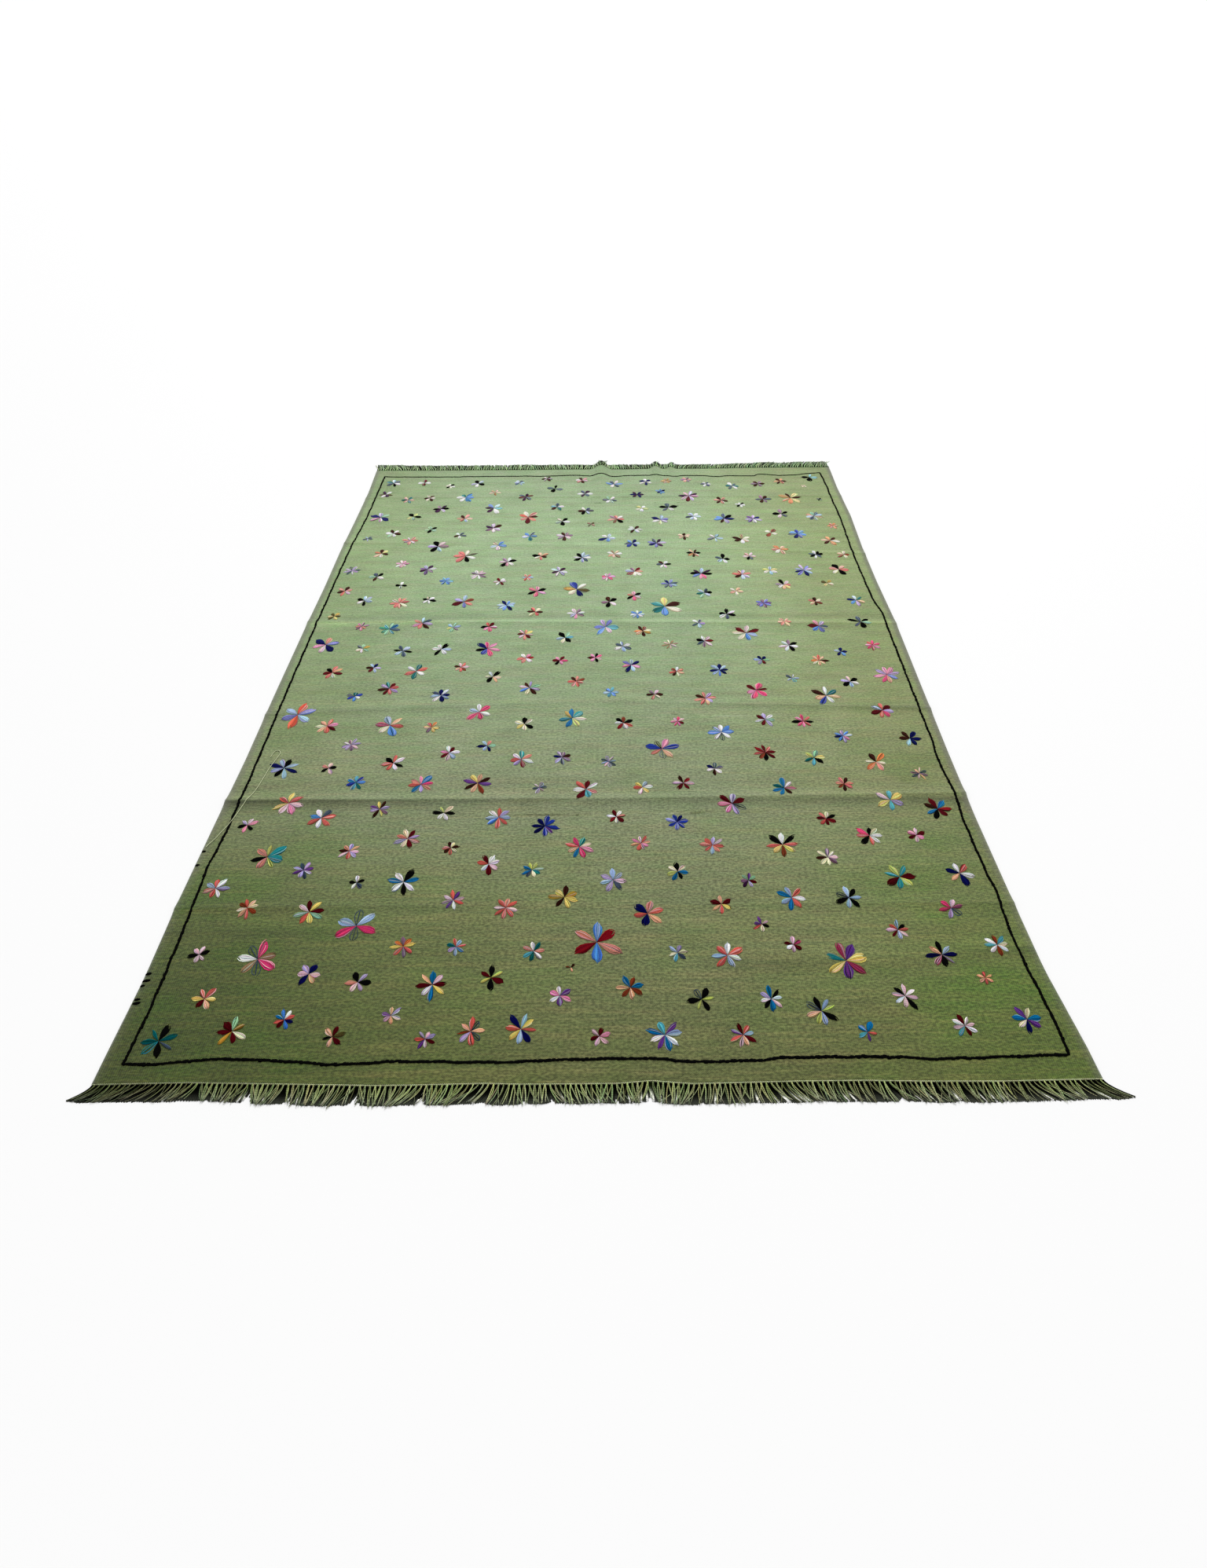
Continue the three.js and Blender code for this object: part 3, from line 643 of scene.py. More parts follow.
@dataclass(frozen=True)
class ClothShape:
    """The shape in which the cloth lies, as functions of places in metres."""

    width: float = 2.0
    length: float = 2.8
    thickness: float = 0.003
    selvage_width: float = 0.014
    selvage_crest: float = 0.006
    selvage_crest_thickness: float = 0.0042
    selvage_edge_thickness: float = 0.0024
    crease_power: float = 3.6
    unevenness: float = 0.0005
    ripple_power: float = 1.4

    def half_width(self, share: Array, along: Array) -> Array:
        """Half the rug's width on the side that the share points to.

        Args:
            share: Place across as a share, from -1 at the left side to 1 at the right.
            along: Place along the rug.

        Returns:
            The distance from the middle to that side.
        """
        left = interpolate(SIDE_LINES, "along", "left", along / MM)
        right = interpolate(SIDE_LINES, "along", "right", along / MM)
        return self.width / 2 + np.where(share < 0, left, right) * MM

    def end_distance(self, share: Array, end: str) -> Array:
        """Distance from the rug's middle to an end line.

        Args:
            share: Place across as a share of half the width.
            end: near or far.

        Returns:
            The distance there.
        """
        return self.length / 2 + interpolate(END_LINES, "share", end, share) * MM

    def ripple_height(self, across: Array, along: Array | float,
                      narrowing: Array | float = 1.0) -> Array:
        """How far the ripples lift the cloth.

        Each is half a cosine wave across the rug, which grows as the ripple_power of the way
        along its run to the far end.

        Args:
            across: Places across the rug.
            along: Places along it.
            narrowing: Each ripple's width as a share of its own.

        Returns:
            The height of the highest ripple.
        """
        heights = []
        for ripple in RIPPLES:
            share = np.clip((across / MM - ripple.across) / (ripple.reach * narrowing), -1, 1)
            way = np.clip((along - self.length / 2) / (ripple.run * MM) + 1, 0, 1)
            wave = (1 + np.cos(np.pi * share)) / 2
            heights.append(ripple.rise * MM * wave * way ** self.ripple_power)
        return np.max(heights, axis=0)

    def fold_heights(self, across: Array, along: Array) -> list[Array]:
        """Heights of the creases across the rug.

        Each falls from its crest as a power of the distance that is left to its foot, so that
        its top is sharp and its foot runs out softly.

        Args:
            across: Places across the rug.
            along: Places along it.

        Returns:
            One array for each fold.
        """
        share = across / self.half_width(across, along)
        heights = []
        for fold in FOLDS:
            crest = between_sides(fold.left, fold.middle, fold.right, share)
            rise = between_sides(fold.left_rise, fold.middle_rise, fold.right_rise, share)
            away = np.clip(np.abs(along / MM - crest) / fold.reach, 0, 1)
            heights.append(rise * MM * (1 - away) ** self.crease_power)
        return heights

    def painted_crease_shades(self, across: Array, along: Array) -> Array:
        """How much the painted shade and highlight of the creases change the cloth's colour.

        Each line has its full tone at its own place, and less of it to either side, as the
        square of the distance that is left to its reach.

        Args:
            across: Places across the rug.
            along: Places along it.

        Returns:
            The share by which the cloth's tone differs.
        """
        share = across / self.half_width(across, along)
        tones = np.zeros_like(share)
        for line in PAINTED_CREASE_SHADES:
            place = between_sides(line.left, line.middle, line.right, share)
            tone = between_sides(line.left_tone, line.middle_tone, line.right_tone, share)
            ahead = along / MM - place
            reach = np.where(ahead < 0, line.near_reach, line.far_reach)
            tones += tone * np.clip(1 - np.abs(ahead) / reach, 0, 1) ** 2
        return tones

    def wrinkle_heights(self, across: Array, along: Array) -> list[Array]:
        """Heights of the low wrinkles.

        Each is half a cosine wave of the distance from its line, and sinks at both its ends
        as one minus the square of the way from its middle.

        Args:
            across: Places across the rug.
            along: Places along it.

        Returns:
            One array for each wrinkle.
        """
        heights = []
        for wrinkle in WRINKLES:
            start = np.array([wrinkle.from_across, wrinkle.from_along]) * MM
            line = np.array([wrinkle.to_across, wrinkle.to_along]) * MM - start
            run = float(np.hypot(*line))
            ahead = ((across - start[0]) * line[0] + (along - start[1]) * line[1]) / run
            aside = ((along - start[1]) * line[0] - (across - start[0]) * line[1]) / run
            sink = np.clip(1 - (2 * ahead / run - 1) ** 2, 0, 1)
            wave = 1 + np.cos(np.pi * np.clip(aside / (wrinkle.reach * MM), -1, 1))
            heights.append(wrinkle.rise * MM / 2 * wave * sink)
        return heights

    def lift(self, across: Array, along: Array) -> Array:
        """How far the cloth's underside stands off the floor.

        Args:
            across: Places across the rug.
            along: Places along it.

        Returns:
            The highest of the folds, ripples and wrinkles, with long slow waves added that
            die out at the edges.
        """
        ripples = self.ripple_height(across, along)
        heights = self.fold_heights(across, along) + self.wrinkle_heights(across, along)
        slow = np.sin(9.1 * across + 4.7 * along) * np.sin(11.3 * along - 3.1 * across + 1.2)
        inside = smooth_step(1.4, 1.3, np.abs(along)) * smooth_step(1.0, 0.93, np.abs(across))
        return np.max([ripples, *heights], axis=0) + self.unevenness * (1 + slow) * inside

    def thickness_at(self, share: Array, along: Array) -> Array:
        """Thickness of the cloth, with the firmer cord along each side.

        Args:
            share: Place across as a share of the half width there.
            along: Place along the rug.

        Returns:
            The thickness there.
        """
        inset = (1 - np.abs(share)) * self.half_width(share, along)
        places = (0.0, self.selvage_crest, self.selvage_width)
        sizes = (self.selvage_edge_thickness, self.selvage_crest_thickness, self.thickness)
        return np.interp(inset, places, sizes)

    def top(self, across: Array, along: Array) -> Array:
        """Height of the cloth's face at places across and along."""
        share = np.clip(across / self.half_width(across, along), -1, 1)
        return self.lift(across, along) + self.thickness_at(share, along)


CLOTH = ClothShape()


def frame_shift() -> Array:
    """Where the cloth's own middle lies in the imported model's frame."""
    low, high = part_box("ground_cloth")
    left = CLOTH.width / 2 + max(SIDE_LINES["left"]) * MM
    far = CLOTH.length / 2 + max(END_LINES["far"]) * MM
    return np.array([low.x + left, high.y - far, 0.0])


SHIFT = frame_shift()


def linear(colour: tuple[int, int, int]) -> Array:
    """A screen colour of 0 to 255 as linear light, by the power of 2.2."""
    return (np.array(colour, float) / 255.0) ** 2.2


def blend(first: tuple[int, int, int], second: tuple[int, int, int], share: Array) -> Array:
    """Linear light between two screen colours, with this share of the second."""
    return linear(first) * (1 - share) + linear(second) * share


@dataclass
class Surface:
    """Points, four-cornered faces and their values, gathered before they become one mesh."""

    points: list[Array] = field(default_factory=list)
    quads: list[Array] = field(default_factory=list)
    colours: list[Array] = field(default_factory=list)
    weaves: list[Array] = field(default_factory=list)
    count: int = 0

    def add(self, points: Array, quads: Array, colours: Array, weave: Array) -> None:
        """Add points and the faces between them.

        Args:
            points: Places, three numbers each.
            quads: Four point numbers for each face, counted from the first point given.
            colours: A linear colour for each point.
            weave: For each point, its place along and round the yarn, for the pattern.
        """
        self.points.append(points.reshape(-1, 3))
        self.quads.append(quads.reshape(-1, 4) + self.count)
        self.colours.append(colours.reshape(-1, 3))
        self.weaves.append(weave.reshape(-1, 2))
        self.count += self.points[-1].shape[0]

    def piece(self, name: str, material: bpy.types.Material) -> bpy.types.Object:
        """Make the mesh object, moved from the cloth's frame into the model's.

        Args:
            name: The piece's name.
            material: Its finish.

        Returns:
            The object, which rides on the rug's one body.
        """
        points = np.concatenate(self.points) + SHIFT
        quads = np.concatenate(self.quads)
        mesh = bpy.data.meshes.new(name)
        mesh.vertices.add(len(points))
        mesh.vertices.foreach_set("co", points.astype(np.float32).ravel())
        mesh.loops.add(quads.size)
        mesh.loops.foreach_set("vertex_index", quads.astype(np.int32).ravel())
        mesh.polygons.add(len(quads))
        mesh.polygons.foreach_set("loop_start", np.arange(0, quads.size, 4, dtype=np.int32))
        mesh.polygons.foreach_set("use_smooth", np.ones(len(quads), bool))
        mesh.update(calc_edges=True)
        colours = np.concatenate(self.colours)
        paint = mesh.color_attributes.new("yarn", "FLOAT_COLOR", "POINT")
        rgba = np.concatenate([colours, np.ones((len(colours), 1))], axis=1)
        paint.data.foreach_set("color", rgba.astype(np.float32).ravel())
        layer = mesh.uv_layers.new(name="weave")
        uv = np.concatenate(self.weaves)[quads.ravel()]
        layer.data.foreach_set("uv", uv.astype(np.float32).ravel())
        mesh.validate()
        mesh.materials.append(material)
        thing = bpy.data.objects.new(name, mesh)
        bpy.context.scene.collection.objects.link(thing)
        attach(thing, "root")
        LOG.info("%s: %d faces", name, len(quads))
        return thing


def tube_quads(tubes: int, stations: int, sides: int) -> Array:
    """Faces of closed tubes whose points are numbered by tube, station and side.

    Each side of a stretch is one face. Each end is closed by faces that join point i and
    i + 1 to the two that lie across from them.

    Args:
        tubes: How many tubes there are.
        stations: Sections along each.
        sides: Points in a section, an even number, clockwise as seen along the tube.

    Returns:
        Four point numbers for each face.
    """
    number = np.arange(tubes * stations * sides).reshape(tubes, stations, sides)
    ahead = np.roll(number, -1, axis=2)
    walls = np.stack([number[:, :-1], ahead[:, :-1], ahead[:, 1:], number[:, 1:]], axis=-1)
    step = np.arange(sides // 2 - 1)
    corners = np.stack([step, step + 1, sides - 2 - step, sides - 1 - step], axis=-1)
    finish = number[:, -1][:, corners]
    start = number[:, 0][:, corners[:, ::-1]]
    return np.concatenate([part.reshape(-1, 4) for part in (walls, start, finish)])


@dataclass(frozen=True)
class Strands:
    """Many yarns of one kind of section, each along its own line."""

    centres: Array
    half_widths: Array
    heights: Array
    colours: Array

    def frames(self) -> tuple[Array, Array]:
        """Level side and upward directions at every station.

        Returns:
            The unit vectors to the right of each line, and those that point up from it.
        """
        ahead = np.gradient(self.centres, axis=1)
        flat = np.stack([ahead[..., 1], -ahead[..., 0], np.zeros_like(ahead[..., 0])], axis=-1)
        side = flat / np.maximum(np.linalg.norm(flat, axis=-1, keepdims=True), 1e-9)
        up = np.cross(side, ahead)
        return side, up / np.maximum(np.linalg.norm(up, axis=-1, keepdims=True), 1e-9)

    def sew(self, surface: Surface, section: tuple[tuple[float, float], ...]) -> None:
        """Add the strands to a surface.

        A point is the line's place, plus the section's first number times the half width to
        the side, plus its second times the height upwards.

        Args:
            surface: What they are added to.
            section: Side and height of each of its points, clockwise along the strand.
        """
        side, up = self.frames()
        shape = np.array(section)
        across = self.half_widths[..., None, None] * shape[:, 0:1] * side[:, :, None, :]
        raised = self.heights[..., None, None] * shape[:, 1:2] * up[:, :, None, :]
        points = self.centres[:, :, None, :] + across + raised
        tubes, stations, sides = points.shape[:3]
        steps = np.linalg.norm(np.diff(self.centres, axis=1), axis=-1)
        run = np.concatenate([np.zeros((tubes, 1)), np.cumsum(steps, axis=1)], axis=1)
        turn = np.broadcast_to(np.linspace(0, 1, sides), (tubes, stations, sides))
        weave = np.stack([np.broadcast_to(run[..., None], turn.shape), turn], axis=-1)
        colours = self.colours.reshape(tubes, -1, 1, 3)
        colours = np.broadcast_to(colours, (tubes, stations, sides, 3))
        surface.add(points, tube_quads(tubes, stations, sides), colours, weave)


def round_section(sides: int) -> tuple[tuple[float, float], ...]:
    """A round section, clockwise as seen along the strand."""
    angles = [math.pi - 2 * math.pi * (step + 0.5) / sides for step in range(sides)]
    return tuple((math.cos(angle), math.sin(angle)) for angle in angles)


STITCH_SECTION = ((-1.0, 0.0), (-0.5, 1.0), (0.5, 1.0), (1.0, 0.0))


def vary(colours: Array, amount: float, rng: np.random.Generator) -> Array:
    """Give each strand its own shade.

    Args:
        colours: A linear colour for each strand.
        amount: The usual difference as a share.
        rng: Where the chance comes from.

    Returns:
        The colours, each lighter or darker as a whole and a little in its hue.
    """
    shade = 1 + amount * rng.standard_normal((len(colours), 1))
    hue = 1 + amount / 3 * rng.standard_normal(colours.shape)
    return np.clip(colours * shade * hue, 0.002, 0.95)


class Wire:
    """A socket of a material's nodes, on which sums are written as Python expressions."""

    def __init__(self, bench: "Bench", socket: bpy.types.NodeSocket) -> None:
        """Keep the socket and the bench that makes further nodes."""
        self.bench = bench
        self.socket = socket

    def math(self, operation: str, *others: "Wire | float", swap: bool = False) -> "Wire":
        """Work out one Math node's operation.

        Args:
            operation: Its name.
            others: The other numbers.
            swap: Whether this value comes second.

        Returns:
            The result.
        """
        values = [*others, self] if swap else [self, *others]
        return self.bench.node("ShaderNodeMath", {"operation": operation}, dict(enumerate(values)))

    def __add__(self, other: "Wire | float") -> "Wire":
        """The sum."""
        return self.math("ADD", other)

    __radd__ = __add__

    def __sub__(self, other: "Wire | float") -> "Wire":
        """The difference."""
        return self.math("SUBTRACT", other)

    def __rsub__(self, other: float) -> "Wire":
        """The difference from a number."""
        return self.math("SUBTRACT", other, swap=True)

    def __mul__(self, other: "Wire | float") -> "Wire":
        """The product."""
        return self.math("MULTIPLY", other)

    __rmul__ = __mul__

    def sine(self) -> "Wire":
        """The sine of this value in radians."""
        return self.math("SINE")

    def span(self, low: float, high: float) -> "Wire":
        """A smooth climb from 0 where this value is low to 1 where it is high."""
        settings = {"interpolation_type": "SMOOTHSTEP"}
        return self.bench.node("ShaderNodeMapRange", settings, {0: self, 1: low, 2: high})


class Bench:
    """Where one material's nodes are made."""

    fibre_spread: float = 0.45
    fibre_tint: tuple[float, float, float, float] = (0.94, 0.97, 1.0, 1.0)

    def __init__(self, name: str) -> None:
        """Start a material with its shader and nothing linked to it."""
        self.material = bpy.data.materials.new(name)
        self.material.use_nodes = True
        self.tree = self.material.node_tree
        self.shader = self.tree.nodes["Principled BSDF"]

    def node(self, kind: str, settings: dict, inputs: dict, output: int | str = 0) -> Wire:
        """Make one node.

        Args:
            kind: The node's type.
            settings: Its settings, which are made first.
            inputs: Values or wires for its sockets, by number or name.
            output: Which of its outputs is wanted.

        Returns:
            That output.
        """
        made = self.tree.nodes.new(kind)
        for name, value in settings.items():
            setattr(made, name, value)
        for name, value in inputs.items():
            self.join(made.inputs[name], value)
        return Wire(self, made.outputs[output])

    def join(self, socket: bpy.types.NodeSocket, value: "Wire | float | tuple") -> None:
        """Link a wire to a socket, or set a plain value on it."""
        if isinstance(value, Wire):
            self.tree.links.new(value.socket, socket)
        else:
            socket.default_value = value

    def mix(self, factor: Wire | float, first: Wire | tuple, second: Wire | tuple,
            blend: str = "MIX") -> Wire:
        """Mix two colours.

        Args:
            factor: The share of the second.
            first: A colour or its wire.
            second: A colour or its wire.
            blend: How the second acts on the first.

        Returns:
            The mixed colour.
        """
        settings = {"data_type": "RGBA", "blend_type": blend}
        return self.node("ShaderNodeMix", settings, {0: factor, 6: first, 7: second}, 2)

    def ramp(self, place: Wire, stops: tuple[tuple[float, tuple], ...]) -> Wire:
        """Colours that run into each other.

        Args:
            place: A value between 0 and 1.
            stops: Places and their screen colours, in order.

        Returns:
            The colour at that value.
        """
        made = self.node("ShaderNodeValToRGB", {}, {0: place})
        elements = made.socket.node.color_ramp.elements
        for _ in stops[2:]:
            elements.new(0.5)
        for element, (at, colour) in zip(elements, stops):
            element.position = at
            element.color = paint(linear(colour))
        return made

    def places(self, stretch: tuple[float, float, float]) -> Wire:
        """Object coordinates in metres, each multiplied by its own number."""
        here = self.node("ShaderNodeTexCoord", {}, {}, "Object")
        return self.node("ShaderNodeVectorMath", {"operation": "MULTIPLY"}, {0: here, 1: stretch})

    def noise(self, stretch: tuple[float, float, float], detail: float = 2.0) -> Wire:
        """Cloudy noise between 0 and 1, with so many clouds in a metre each way."""
        inputs = {"Vector": self.places(stretch), "Scale": 1.0, "Detail": detail}
        return self.node("ShaderNodeTexNoise", {}, inputs)

    def attribute(self, name: str, output: str) -> Wire:
        """A value that the mesh carries."""
        return self.node("ShaderNodeAttribute", {"attribute_name": name}, {}, output)

    def bump(self, height: Wire, distance: float) -> Wire:
        """A surface direction from a height between 0 and 1, of that real depth."""
        inputs = {"Strength": 1.0, "Distance": distance, "Height": height}
        return self.node("ShaderNodeBump", {}, inputs, "Normal")

    def finish(self, colour: Wire, normal: Wire, roughness: float, sheen: float,
               gloss: float) -> bpy.types.Material:
        """Link the shader's varying sockets and set the even ones.

        Args:
            colour: The base colour.
            normal: The surface direction.
            roughness: How matt it is.
            sheen: How much light its loose fibres catch.
            gloss: How much light its surface mirrors.

        Returns:
            The material.
        """
        sockets = {
            "Base Color": colour, "Normal": normal, "Roughness": roughness,
            "Specular IOR Level": gloss, "Sheen Weight": sheen,
            "Sheen Roughness": self.fibre_spread, "Sheen Tint": self.fibre_tint,
        }
        for name, value in sockets.items():
            self.join(self.shader.inputs[name], value)
        return self.material


def paint(colour: Array) -> tuple[float, float, float, float]:
    """A linear colour as a colour socket takes it."""
    return (float(colour[0]), float(colour[1]), float(colour[2]), 1.0)


@dataclass(frozen=True)
class WovenGround:
    """The cloth's weft-faced wool: uneven dyeing with painted light, mottling and fine cross ribs.
    """

    dye_and_light_stops: tuple[tuple[float, tuple[int, int, int]], ...] = (
        (0.0, (90, 96, 61)),
        (0.3, (124, 135, 101)),
        (0.55, (142, 166, 124)),
        (0.78, (154, 181, 134)),
        (1.0, (143, 167, 124)),
    )
    selvage: tuple[int, int, int] = (112, 110, 100)
    fresh: tuple[int, int, int] = (78, 118, 44)
    worn: tuple[int, int, int] = (150, 140, 98)
    rib_pitch: float = 0.0046
    weft_pitch: float = 0.0026
    relief: float = 0.0022
    roughness: float = 0.92
    sheen: float = 0.3
    gloss: float = 0.18

    def material(self) -> bpy.types.Material:
        """Dyeing, painted light and shade, wear, mottling and weave ribs, placed in metres on the
        cloth.
        """
        bench = Bench("woven_ground")
        here = {"Vector": bench.places((1.0, 1.0, 1.0))}
        across = bench.node("ShaderNodeSeparateXYZ", {}, here, "X")
        along = bench.node("ShaderNodeSeparateXYZ", {}, here, "Y")
        half = CLOTH.length / 2
        # Dyeing and painted light along the rug: darker at the near end, lighter and greyer at the
        # far end
        colour = bench.ramp((along + half) * (0.5 / half), self.dye_and_light_stops)

        # Noise, long across the rug and short along it, from wide bands to single flecks
        bands = bench.noise((0.6, 13.0, 0.0), 3.0)
        streaks = bench.noise((6.0, 110.0, 0.0), 3.0)
        picks = bench.noise((17.0, 300.0, 0.0)).span(0.3, 0.7)
        grain = bench.noise((120.0, 220.0, 0.0)).span(0.36, 0.64)
        patches = bench.noise((9.0, 22.0, 0.0)).span(0.3, 0.7)
        clouds = bench.noise((4.5, 7.0, 0.0), 3.0)
        rows = bench.noise((2.2, 34.0, 0.0), 4.0)
        tints = bench.noise((16.0, 55.0, 0.0), 3.0) - 0.5
        flecks = bench.noise((60.0, 140.0, 0.0))

        # Where on the rug the colour and the painted shade change
        near_side = across.math("ABSOLUTE").span(0.45, 1.0)
        near_end = along.span(0.3, -1.2)
        corner = across.span(0.1, -1.0) * along.span(-0.5, -1.3)
        right_corner = across.span(0.45, 1.0) * along.span(-0.6, -1.3)

        # Greener in clouds, most near the sides of the near end, and at the near corners; browner
        # in rows, flecks and streaks, and towards the right side
        fresh = clouds.span(0.46, 0.66) * (0.14 + 0.4 * near_side * near_end)
        colour = bench.mix(fresh, colour, paint(linear(self.fresh)))
        greener = 0.28 * corner + 0.3 * right_corner
        colour = bench.mix(greener, colour, paint(linear(self.fresh)))
        wear = rows.span(0.54, 0.38) * (0.12 + 0.04 * near_end * (1 - near_side))
        right = across.span(0.2, 0.9) * along.span(-0.9, -0.2)
        wear = wear + 0.2 * right + 0.3 * (flecks - 0.5)
        colour = bench.mix(wear.math("MAXIMUM", 0.0), colour, paint(linear(self.worn)))
        colour = bench.mix(streaks.span(0.5, 0.72) * 0.2, colour, paint(linear(self.worn)))

        # How light it is: stripes and picks of yarn, with painted shade at a corner and along the
        # creases
        shade = 0.55 + 0.2 * bands + 0.26 * streaks + 0.15 * picks + 0.12 * patches
        shade = shade + (0.2 + 0.1 * near_end) * rows - 0.01 * near_end
        shade = shade + (0.26 + 0.36 * near_end) * (grain - 0.5)
        # Darker towards the sides, with a painted shadow over the near end's left corner
        shade = shade * (1 - 0.16 * near_side) * (1 - 0.46 * corner)
        # Painted shade and painted highlight along the creases, from the mesh's crease attribute
        crease = bench.attribute("crease", "Fac")
        shade = shade * (1 + crease * (0.35 + 1.3 * bench.noise((7.0, 3.0, 0.0))))
        # Painted shade: the nearest part darker. Less blue at the near end, most to the left, and
        # towards the sides and the right, which leaves a painted cool sheen in the middle
        nearest = along.span(-0.65, -1.1)
        near_less_blue = nearest * (0.12 + 0.16 * across.span(0.1, -0.6))
        shade = shade * (1 - 0.06 * nearest)
        less_blue = shade * (1 - 0.16 * near_side - 0.1 * across.span(0.2, 0.6) - near_less_blue)
        tinted = tints * (1 - 0.5 * near_end)
        tone = bench.node("ShaderNodeCombineColor", {}, {
            0: shade * (1 - 0.3 * tinted), 1: shade * (1 + 0.16 * tinted),
            2: less_blue * (1 - 0.4 * tinted)})
        colour = bench.mix(1.0, colour, tone, "MULTIPLY")

        # The selvages, and the relief of ribs and lumps
        inset = bench.attribute("inset", "Fac")
        edge = 0.12 + 0.45 * along.span(-1.2, -0.2) + 0.16 * across.span(0.0, 0.5)
        edge = inset.span(0.024, 0.008) * edge
        colour = bench.mix(edge, colour, paint(linear(self.selvage)))
        ribs = (across * (math.tau / self.rib_pitch)).sine()
        wefts = (along * (math.tau / self.weft_pitch)).sine()
        lumps = bench.noise((70.0, 170.0, 0.0), 3.0)
        height = 0.5 + 0.12 * ribs * wefts + 0.1 * ribs + 0.9 * (lumps - 0.5)
        normal = bench.bump(height, self.relief)
        return bench.finish(colour, normal, self.roughness, self.sheen, self.gloss)


@dataclass(frozen=True)
class PliedWool:
    """Plied wool yarn whose colour each strand carries."""

    name: str
    ply_pitch: float = 0.0045
    ply_depth: float = 0.0004
    mottle: float = 0.3
    roughness: float = 0.86
    sheen: float = 0.0
    gloss: float = 0.01

    def material(self) -> bpy.types.Material:
        """The strand's colour, clouded a little, with slanting plies in its surface."""
        bench = Bench(self.name)
        uv = bench.node("ShaderNodeUVMap", {"uv_map": "weave"}, {})
        run = bench.node("ShaderNodeSeparateXYZ", {}, {"Vector": uv}, "X")
        turn = bench.node("ShaderNodeSeparateXYZ", {}, {"Vector": uv}, "Y")
        clouds = bench.noise((160.0, 160.0, 60.0))
        shade = (1 - self.mottle / 2) + self.mottle * clouds
        tone = bench.node("ShaderNodeCombineColor", {}, {0: shade, 1: shade, 2: shade})
        colour = bench.mix(1.0, bench.attribute("yarn", "Color"), tone, "MULTIPLY")
        plies = (run * (math.tau / self.ply_pitch) + turn * math.tau).sine()
        return bench.finish(colour, bench.bump(0.5 + 0.5 * plies, self.ply_depth),
                            self.roughness, self.sheen, self.gloss)


